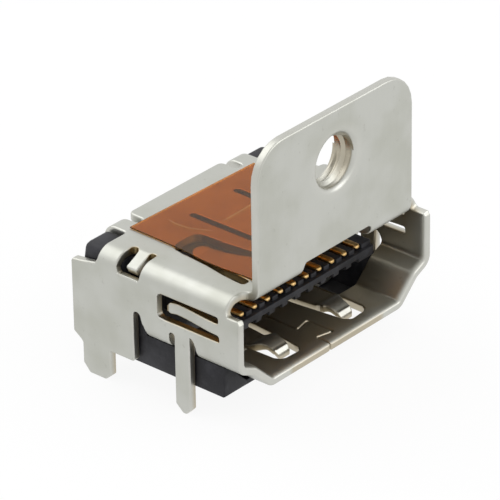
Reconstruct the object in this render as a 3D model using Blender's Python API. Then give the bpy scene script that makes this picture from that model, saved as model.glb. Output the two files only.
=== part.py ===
"""Right-angle board socket with nineteen contacts, wide side up, with an upright screw flange.

Run with: blender --background --python part.py

The origin is on the board plane (the underside of the insulator) under the rear body, on the
centre plane. +X is to the right seen from the mouth, +Y points from the mouth to the rear and +Z
is up. Driving dimensions are in millimetres and are turned into metres when points are placed.

The shell is one sheet. It is drawn as the flat blank that a press would punch, with u running
across the sheet from the middle of the top panel and v running from front to rear, and then folded:
the two side walls, the stepped lower corners and the floor with its dovetail seam, the flange at
the front, the two tabs turned down at the rear, the four board legs, and seven pairs of slots. The
top panel ends at the rear in a flat apron between the tabs.
"""
import math

import bmesh
import bpy
from mathutils import Vector
from mathutils.geometry import delaunay_2d_cdt

MM = 0.001

# Sheet and opening
T = 0.48                    # sheet thickness
MOUTH_W = 14.0              # inside width of the opening
MOUTH_H = 4.55              # inside height of the opening
FLOOR_Z = 0.85              # inside floor above the board
MOUTH_Y = -8.0              # front edge of the mouth from the origin
CORNER_R = 0.52             # inside radius of the two top corners
WALL_END = 1.55             # height above the floor where the side wall turns in
STEP_X = 6.12               # half width at the outer end of the lower diagonal
STEP_H = 1.15               # its height above the floor
FLAT_X = 4.9                # half width of the flat floor
FOLD_R = 0.28               # inside radius of the inward folds
SWAY_R = 0.85               # inside radius of the counter fold

# Flange
FLANGE_HALF = 5.95
FLANGE_TOP = 13.76
FLANGE_CORNER = 1.95
BEND_IN = 0.3               # inside radius of the flange and rear folds
HOLE_Z = 10.9
BORE_R = 1.42
LIP_R = 0.32
COLLAR_R = 1.8
COLLAR_FILLET = 0.25
COLLAR_END = 1.38           # rear end of the collar behind the front face of the flange
HOLE_SIDES = 40
WINDOW_HALF = 2.45          # opening in the flange fold
WINDOW_REAR = 1.3
RELIEF_REAR = 0.95          # depth of the notch that frees the flange from the top corner
RELIEF_R = 0.34
LIP_TOP = 4.13              # height above the floor of the side wall's lip beside that notch

# Side walls
LEG_FRONT, LEG_REAR = 3.3, 4.3
LEG_TIP = -1.5
REAR_LEG_FRONT, REAR_LEG_REAR = 8.68, 10.56
WING_FRONT, WING_REAR = 7.04, 11.17
WING_BOTTOM = 0.26
TOP_REAR = 9.46             # rear edge of the top panel beside the tabs
FLOOR_REAR = 6.2

# Rear apron and tabs
APRON_HALF = 3.57
APRON_REAR = 10.8           # rear edge of the flat apron
APRON_CORNER = 0.34
TAB_Y = 11.02               # outer face of the turned-down tabs
TAB_IN, TAB_OUT = 4.07, 5.15
TAB_BOTTOM = 3.9
NOTCH_FRONT = 9.65          # end of the notch between apron and tab

# Springs
SIDE_SPRING = (1.4, 4.78, 3.8, 4.48)         # root, tip, lower and upper edge
SIDE_SPRING_DIP = 0.27
TOP_SPRING_DIP = 0.55
FLOOR_SPRING_RISE = 0.3
SEAM_X = -0.5
SEAM_GAP = 0.04

# Contacts
UPPER_COUNT, LOWER_COUNT = 10, 9
PITCH = 1.0
CONTACT_W = 0.44
CONTACT_T = 0.24
CONTACT_PROUD = 0.1
NOSE_Y = 2.36               # front end of the contacts
NOSE_DROP = 0.13            # how far the nose is turned into the tongue
UPPER_DROP_Y, LOWER_DROP_Y = 10.32, 10.04   # where each row goes down to the board
TAIL_W = 0.24
TAIL_END = 11.75
TAIL_BEND_R = 0.16
ROW_HALF = (UPPER_COUNT - 1) / 2 * PITCH + CONTACT_W / 2

# Insulator
FIT = 0.06                  # clearance to the sheet
BODY_FRONT, BODY_REAR = 6.6, 9.8
EAR_REAR = 10.8
EAR_IN = ROW_HALF + 0.58
EAR_TOP = 5.6
FOOT_FRONT = 1.48
FOOT_IN = FLAT_X + 0.25
TONGUE_FRONT = 2.15
TONGUE_HALF = ROW_HALF + 0.8
TONGUE_MID = 2.99
TONGUE_HALF_T = 0.39
TONGUE_LIP = 0.22           # step between the tongue's front lip and the ends of its ribs
LIP_Z = 3.15                # top of that lip
GROOVE_W = 0.58
GROOVE_DEPTH = 0.23

# Tape
TAPE_T = 0.07
TAPE_LIFT = 0.02
TAPE = ((-4.92, 1.0), (4.32, 1.0), (4.42, 9.28), (-4.76, 9.56))

TOP_IN = FLOOR_Z + MOUTH_H
TOP_OUT = TOP_IN + T
WALL_X = MOUTH_W / 2
BEND_OUT = BEND_IN + T


def arc(cx, cy, r, a0, a1, steps):
    """Points of a circle arc from a0 to a1 degrees, both ends included."""
    points = []
    for i in range(steps + 1):
        a = math.radians(a0 + (a1 - a0) * i / steps)
        points.append((cx + r * math.cos(a), cy + r * math.sin(a)))
    return points


# Fold lines of the shell's cross section


def section(corners):
    """Stations of the folded section: each is (u, inner point, outer point).

    corners lists (x, z, inside radius, steps) down the right-hand side, starting on the centre
    line. A positive radius folds towards the cavity, a negative one folds away from it.
    """
    stations = []
    u = 0.0
    last = Vector(corners[0][:2])
    heading = None
    for i, (x, z, radius, steps) in enumerate(corners):
        point = Vector((x, z))
        if i == 0:
            nxt = Vector(corners[1][:2])
            heading = (nxt - point).normalized()
            normal = Vector((-heading.y, heading.x))
            stations.append((u, point.copy(), point + normal * T))
            continue
        into = (point - last).normalized()
        if i == len(corners) - 1:
            u += (point - last).length
            normal = Vector((-into.y, into.x))
            stations.append((u, point.copy(), point + normal * T))
            break
        out = (Vector(corners[i + 1][:2]) - point).normalized()
        turn = into.angle(out)
        setback = abs(radius) * math.tan(turn / 2)
        start = point - into * setback
        u += (start - last).length
        side = 1 if radius > 0 else -1
        normal = Vector((-into.y, into.x))
        centre = start - normal * abs(radius) * side
        for k in range(steps + 1):
            a = -side * turn * k / steps
            n = Vector((normal.x * math.cos(a) - normal.y * math.sin(a),
                        normal.x * math.sin(a) + normal.y * math.cos(a)))
            inner = centre + n * abs(radius) * side
            stations.append((u + abs(radius) * turn * k / steps, inner, inner + n * T))
        u += abs(radius) * turn
        last = stations[-1][1]
    return stations


SECTION = section([
    (0.0, TOP_IN, 0, 0),
    (WALL_X, TOP_IN, CORNER_R, 7),
    (WALL_X, FLOOR_Z + WALL_END, FOLD_R, 4),
    (STEP_X, FLOOR_Z + STEP_H, -SWAY_R, 2),
    (FLAT_X, FLOOR_Z, FOLD_R, 4),
    (-1.0, FLOOR_Z, 0, 0),
])
U_TOP = SECTION[1][0]               # where the top panel starts to fold
U_WALL = SECTION[8][0]              # where the side wall starts
Z_WALL = SECTION[8][1].y
U_FOLD = SECTION[9][0]              # where the side wall ends
Z_FOLD = SECTION[9][1].y
U_FLOOR = SECTION[-2][0]            # where the flat floor starts
X_FLOOR = SECTION[-2][1].x


def u_wall(z):
    """Place on the blank of a height on the side wall, or on a straight leg below it."""
    return U_WALL + (Z_WALL - z)


def u_floor(x):
    """Place on the blank of a half width on the flat floor."""
    return U_FLOOR + (X_FLOOR - x)


def folded_section(s, w):
    """Place in the section of distance s from the centre line, at depth w in the sheet."""
    for (u0, in0, out0), (u1, in1, out1) in zip(SECTION, SECTION[1:]):
        if s <= u1 or u1 == SECTION[-1][0]:
            k = (s - u0) / (u1 - u0)
            inner = in0.lerp(in1, k)
            outer = out0.lerp(out1, k)
            return inner.lerp(outer, w / T)


# Folds of the flange and the tabs

FRONT_FOLD = BEND_OUT                           # v where the top panel turns up
FOLD_LENGTH = math.pi / 2 * (BEND_IN + T / 2)
FLANGE_V = FRONT_FOLD - FOLD_LENGTH - (FLANGE_TOP - TOP_IN - BEND_OUT)
HOLE_V = FRONT_FOLD - FOLD_LENGTH - (HOLE_Z - TOP_IN - BEND_OUT)
REAR_FOLD = TAB_Y - BEND_OUT                    # v where the tabs turn down
TAB_V = REAR_FOLD + FOLD_LENGTH + (TOP_OUT - BEND_OUT - TAB_BOTTOM)
FOLD_STEPS = 6


def folded_up(v, w):
    """Depth and height of a point of the flange: the fold turns round an axis above the panel."""
    centre_z = TOP_IN + BEND_OUT
    run = FRONT_FOLD - v
    a = math.pi / 2 * min(run / FOLD_LENGTH, 1.0)
    r = BEND_OUT - w
    y = FRONT_FOLD - r * math.sin(a)
    z = centre_z - r * math.cos(a)
    return y, z + max(run - FOLD_LENGTH, 0.0)


def folded_down(v, w):
    """Depth and height of a point of a tab: the fold turns round an axis below the panel."""
    centre_z = TOP_OUT - BEND_OUT
    run = v - REAR_FOLD
    a = math.pi / 2 * min(run / FOLD_LENGTH, 1.0)
    r = BEND_IN + w
    y = REAR_FOLD + r * math.sin(a)
    z = centre_z + r * math.cos(a)
    return y, z - max(run - FOLD_LENGTH, 0.0)


def smooth(k):
    k = min(max(k, 0.0), 1.0)
    return k * k * (3 - 2 * k)


# Springs and latches: each has its place on the blank and its own bend

TOP_ROOT, TOP_TIP = 1.9, 5.5
FLOOR_ROOT, FLOOR_TIP = 5.4, 0.95
FLOOR_IN_X, FLOOR_OUT_X = 1.9, 3.0
LATCH_FRONT, LATCH_REAR = 6.86, 7.56
LATCH_ROOT, LATCH_TIP = 6.0, 7.12   # root and tip on the blank
LATCH_RUN = 1.4                     # length once pressed, as pressing stretches it
LATCH_BEND = 0.4
LATCH_ANGLE = math.radians(21)
LATCH_WINDOW = (6.62, 8.18)         # front and rear edge of the window round a latch


def spring_depth(s, v):
    """How far a point of a spring stands in from its own panel."""
    root, tip, low, high = SIDE_SPRING
    if root <= v <= tip and u_wall(high) - 0.01 <= s <= u_wall(low) + 0.01:
        k = (v - root) / (tip - root)
        return SIDE_SPRING_DIP * (smooth(k / 0.88) - 1.1 * max(k - 0.88, 0.0) / 0.24)
    if TOP_ROOT <= v <= TOP_TIP and 3.0 < s < 5.03:
        k = (v - TOP_ROOT) / (TOP_TIP - TOP_ROOT)
        return TOP_SPRING_DIP * (k * k * (1.5 - 0.5 * k) - 0.5 * max(k - 0.85, 0.0) / 0.15)
    x = X_FLOOR - (s - U_FLOOR)
    if s > U_FLOOR and FLOOR_TIP - 0.3 <= v <= FLOOR_ROOT:
        if FLOOR_IN_X - 0.05 <= x <= FLOOR_OUT_X + 0.05:
            k = (FLOOR_ROOT - v) / (FLOOR_ROOT - FLOOR_TIP)
            fall = max(k - 0.72, 0.0) / 0.28
            return FLOOR_SPRING_RISE * (smooth(k / 0.72) - 1.25 * fall * (2 - fall) / 1.0)
    return 0.0


def latch_point(s, w):
    """The latch leaves the top panel and slopes into the cavity instead of following the fold."""
    run = (s - LATCH_ROOT) * LATCH_RUN / (LATCH_TIP - LATCH_ROOT)
    a = LATCH_ANGLE * min(run / LATCH_BEND, 1.0)
    r = LATCH_BEND / LATCH_ANGLE
    x = LATCH_ROOT + r * math.sin(a)
    z = TOP_OUT - r * (1 - math.cos(a))
    rest = max(run - LATCH_BEND, 0.0)
    x += rest * math.cos(LATCH_ANGLE)
    z -= rest * math.sin(LATCH_ANGLE)
    return Vector((x - (T - w) * math.sin(a), z - (T - w) * math.cos(a)))


def fold(u, v, w):
    """Place in space (millimetres) of point u, v of the blank at depth w in the sheet."""
    s = abs(u)
    side = -1 if u < 0 else 1
    if s <= U_TOP + 1e-5 and v < FRONT_FOLD:
        y, z = folded_up(v, w)
        return Vector((u, y + MOUTH_Y, z))
    if TAB_IN - 0.01 <= s <= U_TOP and v > REAR_FOLD:
        y, z = folded_down(v, w)
        return Vector((u, y + MOUTH_Y, z))
    in_latch = LATCH_FRONT - 0.02 <= v <= LATCH_REAR + 0.02
    if in_latch and LATCH_ROOT < s <= LATCH_TIP + 0.02:
        point = latch_point(s, w)
        return Vector((side * point.x, v + MOUTH_Y, point.y))
    leg = LEG_FRONT - 0.01 <= v <= LEG_REAR + 0.01 and s < u_wall(LEG_TIP) + 0.01
    if s > U_FOLD and (leg or v > WING_FRONT - 0.01):
        return Vector((side * (WALL_X + w), v + MOUTH_Y, Z_FOLD - (s - U_FOLD)))
    depth = spring_depth(s, v)
    point = folded_section(s, w)
    if depth:
        inward = (folded_section(s, 0.0) - folded_section(s, T)).normalized()
        point = point + inward * depth
    return Vector((side * point.x, v + MOUTH_Y, point.y))


# Outline of the blank and its holes


def half_outline(right):
    """One half of the blank's outline, from the middle of the flange's top to the apron's end."""
    r = FLANGE_CORNER
    points = [(0.0, FLANGE_V)]
    points += arc(FLANGE_HALF - r, FLANGE_V + r, r, -90, 0, 8)
    r = RELIEF_R
    points += arc(FLANGE_HALF + r, RELIEF_REAR - r, r, 180, 90, 5)
    edge = u_wall(FLOOR_Z + LIP_TOP)
    points += arc(edge - 0.2, RELIEF_REAR - 0.2, 0.2, 90, 0, 4)
    points += arc(edge + 0.16, 0.16, 0.16, 180, 270, 3)
    seam = u_floor(SEAM_X) if right else u_floor(-SEAM_X) - SEAM_GAP
    points += [(seam, 0.0)]
    if right:
        socket = u_floor(-SEAM_X)
        points += [(seam, 0.92), (socket, 0.64), (socket, 2.42), (seam, 2.18)]
    else:
        tail = u_floor(SEAM_X) - SEAM_GAP
        points += [(seam, 0.95), (tail, 0.68), (tail, 2.38), (seam, 2.15)]
    points += [(seam, FLOOR_REAR), (U_FOLD + 0.35, FLOOR_REAR)]
    points += [(U_FOLD + 0.12, FLOOR_REAR + 0.07), (U_FOLD - 0.08, FLOOR_REAR + 0.26)]
    slot_r = (WING_FRONT - FLOOR_REAR - 0.36) / 2
    top = u_wall(3.2) + slot_r
    points += arc(top, WING_FRONT - slot_r, slot_r, 270, 90, 6)
    low = u_wall(WING_BOTTOM)
    points += [(low - 0.1, WING_FRONT), (low, WING_FRONT + 0.1)]
    points += [(low, REAR_LEG_FRONT - 0.08), (low + 0.08, REAR_LEG_FRONT)]
    tip = u_wall(LEG_TIP)
    points += [(tip - 0.34, REAR_LEG_FRONT), (tip, REAR_LEG_FRONT + 0.38)]
    points += [(tip, REAR_LEG_REAR - 0.44), (tip - 0.48, REAR_LEG_REAR)]
    points += [(low + 0.12, REAR_LEG_REAR), (low - 0.02, REAR_LEG_REAR + 0.12)]
    points += [(low - 0.36, WING_REAR)]
    points += arc(u_wall(4.82) + 0.16, WING_REAR - 0.16, 0.16, 90, 170, 3)
    points += arc(u_wall(5.0) - 0.1, TOP_REAR + 0.1, 0.1, 0, -90, 2)
    points += arc(TAB_OUT + 0.2, TOP_REAR + 0.2, 0.2, 270, 180, 3)
    points += [(TAB_OUT, TAB_V - 0.15), (TAB_OUT - 0.15, TAB_V)]
    points += [(TAB_IN + 0.15, TAB_V), (TAB_IN, TAB_V - 0.15)]
    gap = (TAB_IN - APRON_HALF) / 2
    points += arc(TAB_IN - gap, NOTCH_FRONT + gap, gap, 360, 180, 4)
    r = APRON_CORNER
    return points + arc(APRON_HALF - r, APRON_REAR - r, r, 0, 90, 4)


def slot_between(u0, u1, v0, v1, steps=5):
    """A straight slot with round ends."""
    r = (u1 - u0) / 2
    middle = (u0 + u1) / 2
    return arc(middle, v0 + r, r, 180, 360, steps) + arc(middle, v1 - r, r, 0, 180, steps)


def side_spring_slot():
    """The C-shaped slot round a side spring."""
    root, tip, low, high = SIDE_SPRING
    bottom, top = u_wall(3.45), u_wall(4.83)
    a, b = u_wall(low), u_wall(high)
    rear = 5.4
    return [(top, root), (top, rear - 0.3), (top + 0.08, rear - 0.1), (top + 0.24, rear),
            (bottom - 0.2, rear), (bottom - 0.06, rear - 0.06), (bottom, rear - 0.22),
            (bottom, root - 0.03), (bottom - 0.1, root - 0.06), (a, root - 0.03),
            (a - 0.02, tip - 0.14), (a - 0.12, tip), (b + 0.12, tip), (b + 0.02, tip - 0.14),
            (b, root)]


def top_spring_slot():
    """The U-shaped slot round a top spring, which widens towards its root at the front."""
    outer = [(5.4, 1.41), (5.5, 1.46), (5.54, 1.56), (5.52, 1.86), (5.45, 2.58), (5.29, 4.23)]
    outer += [(5.16, 5.6)] + arc(4.5, 6.1, 0.62, 0, 90, 4)[1:]
    outer += arc(3.5, 6.16, 0.6, 90, 180, 4)
    outer += [(2.88, 4.7), (2.74, 3.4), (2.6, 2.3), (2.62, 1.95), (2.78, 1.84), (2.98, 1.9)]
    finger = [(3.04, 2.2), (3.22, 3.3), (3.5, 4.6)]
    finger += arc(3.92, 5.16, 0.34, 170, 90, 3)
    finger += arc(4.62, 5.16, 0.34, 90, 10, 3)
    finger += [(4.94, 4.4), (4.9, 3.0), (4.88, 1.62), (4.91, 1.48), (5.0, 1.41)]
    return outer + finger


def latch_slot():
    """The slot round a latch, across the top corner."""
    end = U_WALL - 0.07
    front, rear = LATCH_WINDOW
    points = [(LATCH_ROOT + 0.1, front), (end - 0.08, front), (end, front + 0.08)]
    points += arc(end - 0.16, rear - 0.16, 0.16, 0, 90, 3)
    points += arc(LATCH_ROOT + 0.2, rear - 0.24, 0.24, 90, 250, 5)
    points += [(LATCH_TIP, LATCH_REAR), (LATCH_TIP, LATCH_FRONT)]
    points += [(LATCH_ROOT + 0.12, LATCH_FRONT + 0.02), (LATCH_ROOT, LATCH_FRONT - 0.06)]
    return points + [(LATCH_ROOT, front + 0.08)]


def front_leg_slot():
    """The slot that frees a front leg from the stepped corner and the floor."""
    front, rear = LEG_FRONT - 0.4, LEG_REAR + 0.36
    high = u_wall(2.98)
    tip = u_wall(LEG_TIP)
    end = tip + 0.08
    points = [(high, LEG_FRONT), (high, LEG_FRONT - 0.12), (high + 0.14, LEG_FRONT - 0.26)]
    points += [(high + 0.45, front), (end, front), (end, rear), (u_wall(2.7), rear)]
    points += [(u_wall(2.84), rear - 0.08), (u_wall(2.86), LEG_REAR + 0.1), (u_wall(2.78), LEG_REAR)]
    points += [(tip - 0.42, LEG_REAR), (tip, 3.82), (tip, 3.62), (tip - 0.34, LEG_FRONT)]
    return points


def floor_spring_slot():
    """The slot round a floor spring, whose tip points to the mouth."""
    inner, outer = u_floor(1.5), u_floor(3.32)
    a, b = u_floor(FLOOR_IN_X), u_floor(FLOOR_OUT_X)
    middle = (a + b) / 2
    tip = FLOOR_TIP
    points = [(outer, FLOOR_ROOT), (outer, 0.95), (outer + 0.25, 0.7), (inner - 0.25, 0.7)]
    points += [(inner, 0.95), (inner, FLOOR_ROOT), (a, FLOOR_ROOT), (a, tip + 0.5)]
    points += [(a - 0.14, tip + 0.18), (middle + 0.2, tip), (middle - 0.2, tip)]
    points += [(b + 0.14, tip + 0.18), (b, tip + 0.5), (b, FLOOR_ROOT)]
    return points


def fold_window():
    """The opening in the flange fold, over the contacts."""
    front = FRONT_FOLD - FOLD_LENGTH - 0.02
    h = WINDOW_HALF
    r = 0.25
    points = [(h - 0.12, front), (h, front + 0.12)] + arc(h - r, WINDOW_REAR - r, r, 0, 90, 4)
    points += arc(r - h, WINDOW_REAR - r, r, 90, 180, 4) + [(-h, front + 0.12), (0.12 - h, front)]
    return points


def mirrored(points):
    return [(-u, v) for u, v in points]


def inside(point, loops):
    """Whether a point of the blank is on the sheet: inside the outline and outside the holes."""
    crossings = 0
    for loop in loops:
        for (u0, v0), (u1, v1) in zip(loop, loop[1:] + loop[:1]):
            if (v0 > point.y) != (v1 > point.y):
                crossings += u0 + (u1 - u0) * (point.y - v0) / (v1 - v0) > point.x
    return crossings % 2 == 1


def fill_blank(bm, outline, holes):
    """Make the blank as one flat mesh of triangles with its holes open."""
    loops = [outline] + holes
    corners = []
    edges = []
    for loop in loops:
        first = len(corners)
        corners += [Vector(p) for p in loop]
        edges += [(first + i, first + (i + 1) % len(loop)) for i in range(len(loop))]
    points, _, faces, *_ = delaunay_2d_cdt(corners, edges, [], 0, 1e-5)
    verts = [bm.verts.new((p.x, p.y, 0.0)) for p in points]
    for face in faces:
        middle = (points[face[0]] + points[face[1]] + points[face[2]]) / 3
        if inside(middle, loops):
            bm.faces.new([verts[i] for i in face])
    bmesh.ops.delete(bm, geom=[v for v in bm.verts if not v.link_faces], context="VERTS")


def crease(bm, lines, keep, axis):
    """Cut the blank along fold lines, only through faces that keep() accepts."""
    normal = Vector((1, 0, 0)) if axis == 0 else Vector((0, 1, 0))
    for value in lines:
        faces = [f for f in bm.faces if keep(f.calc_center_median())]
        geom = set(faces)
        for f in faces:
            geom.update(f.edges)
            geom.update(f.verts)
        bmesh.ops.bisect_plane(bm, geom=list(geom), dist=1e-5, plane_co=normal * value,
                               plane_no=normal)


def build_blank():
    """The flat sheet with every crease, still of zero thickness."""
    bm = bmesh.new()
    right = half_outline(True)
    left = mirrored(half_outline(False))[1:][::-1]
    pairs = [side_spring_slot(), top_spring_slot(), latch_slot(), front_leg_slot(),
             floor_spring_slot(), slot_between(1.5, 1.9, 2.4, 8.2)]
    holes = [fold_window(), arc(0.0, HOLE_V, COLLAR_R + COLLAR_FILLET + 0.1, 0, 360, HOLE_SIDES)[:-1]]
    for loop in pairs:
        holes.append(loop)
        holes.append(mirrored(loop))
    fill_blank(bm, right + left, holes)
    stations = [s[0] for s in SECTION[1:-1]]
    crease(bm, stations + [-s for s in stations], lambda c: True, 0)
    steps = [k / FOLD_STEPS for k in range(FOLD_STEPS + 1)]
    crease(bm, [FRONT_FOLD - FOLD_LENGTH * k for k in steps],
           lambda c: abs(c.x) < U_TOP and c.y < 1.5, 1)
    crease(bm, [REAR_FOLD + FOLD_LENGTH * k for k in steps],
           lambda c: TAB_IN < abs(c.x) < U_TOP and c.y > NOTCH_FRONT, 1)
    root, tip, low, high = SIDE_SPRING
    crease(bm, [root + (tip - root) * k / 10 for k in range(11)],
           lambda c: u_wall(high) - 0.3 < abs(c.x) < u_wall(low) + 0.4 and c.y < 6, 1)
    crease(bm, [TOP_ROOT + (TOP_TIP - TOP_ROOT) * k / 8 for k in range(9)],
           lambda c: 2.4 < abs(c.x) < 5.8 and 1.0 < c.y < 7, 1)
    crease(bm, [FLOOR_TIP + (FLOOR_ROOT - FLOOR_TIP) * k / 12 for k in range(13)],
           lambda c: u_floor(3.6) < abs(c.x) < u_floor(1.3) and c.y < 6.2, 1)
    bend = LATCH_BEND * (LATCH_TIP - LATCH_ROOT) / LATCH_RUN
    bends = [LATCH_ROOT + bend * k / 3 for k in range(4)]
    crease(bm, bends + [-b for b in bends],
           lambda c: 5.5 < abs(c.x) < U_WALL and 6.0 < c.y < 8.4, 0)
    bmesh.ops.remove_doubles(bm, verts=bm.verts, dist=1e-4)
    return bm


def add_collar(bm):
    """Draw the sheet round the flange's hole back into a collar with a rounded entry."""
    reach = COLLAR_R + COLLAR_FILLET + 0.1
    centre_z = HOLE_Z

    def radius(vert):
        return math.hypot(vert.co.x, vert.co.z - centre_z)

    wall = [f for f in bm.faces
            if all(abs(radius(v) - reach) < 1e-3 and v.co.y < MOUTH_Y + T + 0.01 for v in f.verts)]
    bmesh.ops.delete(bm, geom=wall, context="FACES_ONLY")
    loose = [e for e in bm.edges if not e.link_faces]
    bmesh.ops.delete(bm, geom=loose, context="EDGES")
    front = MOUTH_Y
    back = MOUTH_Y + T
    profile = [(reach, front)]
    profile += [(BORE_R + LIP_R - r, front + y)
                for r, y in [(LIP_R * math.sin(math.radians(a)),
                              LIP_R * (1 - math.cos(math.radians(a)))) for a in (0, 22, 45, 68, 90)]]
    profile += [(BORE_R, front + COLLAR_END - 0.06), (BORE_R + 0.06, front + COLLAR_END)]
    profile += [(COLLAR_R - 0.07, front + COLLAR_END), (COLLAR_R, front + COLLAR_END - 0.07)]
    f = COLLAR_FILLET
    profile += [(COLLAR_R + f * (1 - math.cos(math.radians(a))),
                 back + f * (1 - math.sin(math.radians(a)))) for a in (0, 30, 60, 90)]
    profile += [(reach, back)]
    rings = []
    for place, (r, y) in enumerate(profile):
        ring = []
        for k in range(HOLE_SIDES):
            a = 2 * math.pi * k / HOLE_SIDES
            co = Vector((r * math.cos(a), y, centre_z - r * math.sin(a)))
            if place in (0, len(profile) - 1):
                vert = min(bm.verts, key=lambda v: (v.co - co).length_squared)
            else:
                vert = bm.verts.new(co)
            ring.append(vert)
        rings.append(ring)
        bm.verts.index_update()
    for one, two in zip(rings, rings[1:]):
        for k in range(HOLE_SIDES):
            n = (k + 1) % HOLE_SIDES
            bm.faces.new((one[k], one[n], two[n], two[k]))


def build_shell():
    """Fold the blank twice, at its inner and outer skin, and close the cut edges between them."""
    flat = build_blank()
    flat.verts.index_update()
    bm = bmesh.new()
    inner = [bm.verts.new(fold(v.co.x, v.co.y, 0.0)) for v in flat.verts]
    outer = [bm.verts.new(fold(v.co.x, v.co.y, T)) for v in flat.verts]
    for face in flat.faces:
        ids = [v.index for v in face.verts]
        bm.faces.new([inner[i] for i in ids])
        bm.faces.new([outer[i] for i in reversed(ids)])
    for edge in flat.edges:
        if len(edge.link_faces) == 1:
            a, b = edge.verts[0].index, edge.verts[1].index
            bm.faces.new((inner[a], inner[b], outer[b], outer[a]))
    flat.free()
    add_collar(bm)
    bmesh.ops.recalc_face_normals(bm, faces=bm.faces)
    bmesh.ops.dissolve_limit(bm, angle_limit=math.radians(0.2), verts=bm.verts, edges=bm.edges)
    bmesh.ops.triangulate(bm, faces=bm.faces)
    return bm


# Insulator


def prism(points, y0, y1):
    """A closed body: an outline in x and z, extruded from y0 to y1."""
    bm = bmesh.new()
    verts = [bm.verts.new((x, y0 + MOUTH_Y, z)) for x, z in points]
    face = bm.faces.new(verts)
    run = bmesh.ops.extrude_face_region(bm, geom=[face])
    moved = [v for v in run["geom"] if isinstance(v, bmesh.types.BMVert)]
    bmesh.ops.translate(bm, verts=moved, vec=(0, y1 - y0, 0))
    bmesh.ops.recalc_face_normals(bm, faces=bm.faces)
    return bm


def box(x0, x1, y0, y1, z0, z1):
    return prism([(x0, z0), (x1, z0), (x1, z1), (x0, z1)], y0, y1)


def joined(bodies):
    """Several separate closed bodies in one mesh, for use as one cutter."""
    bm = bmesh.new()
    for body in bodies:
        mesh = bpy.data.meshes.new("piece")
        body.to_mesh(mesh)
        body.free()
        bm.from_mesh(mesh)
        bpy.data.meshes.remove(mesh)
    return bm


def bevel_edges(bm, width, segments, pick):
    edges = [e for e in bm.edges if pick(e)]
    bmesh.ops.bevel(bm, geom=edges, offset=width, segments=segments, profile=0.5, affect="EDGES")
    return bm


def along(edge, axis):
    d = edge.verts[1].co - edge.verts[0].co
    return abs(d[axis]) > 0.999 * d.length


def add_object(name, bm, material=None, cutter=False):
    """Turn millimetres into metres and put the mesh into the scene."""
    bmesh.ops.scale(bm, vec=(MM, MM, MM), verts=bm.verts)
    mesh = bpy.data.meshes.new(name)
    bm.to_mesh(mesh)
    bm.free()
    obj = bpy.data.objects.new(name, mesh)
    bpy.context.scene.collection.objects.link(obj)
    if material:
        mesh.materials.append(material)
    if cutter:
        obj.hide_render = True
        obj.display_type = "WIRE"
    return obj


def boolean(obj, operation, other, name):
    mod = obj.modifiers.new(name, "BOOLEAN")
    mod.operation = operation
    mod.solver = "EXACT"
    mod.object = other


def build_housing(material):
    side = WALL_X - FIT
    high = TOP_IN - FIT
    c = CORNER_R
    body = prism([(-side, 0), (side, 0), (side, high - c), (side - 0.3 * c, high - 0.3 * c),
                  (side - c, high), (c - side, high), (0.3 * c - side, high - 0.3 * c),
                  (-side, high - c)], BODY_FRONT, BODY_REAR)
    housing = add_object("housing", body, material)
    ears = []
    for sign in (-1, 1):
        ear = box(EAR_IN, side, TOP_REAR + 0.08, EAR_REAR, 0.0, EAR_TOP)
        bevel_edges(ear, 0.42, 4, lambda e: along(e, 1) and e.verts[0].co.z > EAR_TOP - 0.01
                    and e.verts[0].co.x > side - 0.01)
        bevel_edges(ear, 0.3, 3, lambda e: min(v.co.y for v in e.verts) > EAR_REAR + MOUTH_Y - 0.01
                    and min(v.co.z for v in e.verts) > 0.1)
        if sign < 0:
            bmesh.ops.scale(ear, vec=(-1, 1, 1), verts=ear.verts)
            bmesh.ops.recalc_face_normals(ear, faces=ear.faces)
        ears.append(ear)
        outline = [(FOOT_IN, 0.0), (side, 0.0), (side, 1.74), (STEP_X + 0.38, 1.5),
                   (FOOT_IN + 0.21, 0.38), (FOOT_IN, 0.25)]
        foot = prism([(sign * x, z) for x, z in outline], FOOT_FRONT, BODY_FRONT + 0.3)
        bevel_edges(foot, 0.1, 2, lambda e: min(v.co.z for v in e.verts) < 0.3
                    and max(v.co.y for v in e.verts) < FOOT_FRONT + MOUTH_Y + 0.01)
        ears.append(foot)
    boolean(housing, "UNION", add_object("housing_ears", joined(ears), cutter=True), "ears and feet")
    half = TONGUE_HALF_T
    tongue = box(-TONGUE_HALF, TONGUE_HALF, TONGUE_FRONT, BODY_FRONT + 0.3, TONGUE_MID - half,
                 TONGUE_MID + half)
    bevel_edges(tongue, 0.08, 2, lambda e: max(v.co.y for v in e.verts) < TONGUE_FRONT + MOUTH_Y
                + 0.01)
    boolean(housing, "UNION", add_object("housing_tongue", tongue, cutter=True), "tongue")
    cuts = []
    for x, top in contact_places():
        w = GROOVE_W / 2
        start = TONGUE_FRONT - 0.5
        if top:
            z0 = TONGUE_MID + half - GROOVE_DEPTH
            cuts.append(box(x - w, x + w, start, BODY_REAR + 0.5, z0, z0 + GROOVE_DEPTH + 0.2))
        else:
            z1 = TONGUE_MID - half + GROOVE_DEPTH
            cuts.append(box(x - w, x + w, start, BODY_REAR + 0.5, z1 - GROOVE_DEPTH - 0.2, z1))
    boolean(housing, "DIFFERENCE", add_object("housing_cuts", joined(cuts), cutter=True), "grooves")
    step = box(-TONGUE_HALF - 0.1, TONGUE_HALF + 0.1, TONGUE_FRONT - 0.5, TONGUE_FRONT + TONGUE_LIP,
               LIP_Z, TONGUE_MID + half + 0.1)
    pockets = [step]
    for sign in (-1, 1):
        x0, x1 = sorted((sign * (LATCH_ROOT + 0.2), sign * (WALL_X + 0.4)))
        pockets.append(box(x0, x1, LATCH_WINDOW[0] - 0.2, LATCH_WINDOW[1] + 0.1, 4.2, 5.9))
    boolean(housing, "DIFFERENCE", add_object("housing_pockets", joined(pockets), cutter=True),
            "front step and latch pockets")
    return housing


# Contacts


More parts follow.
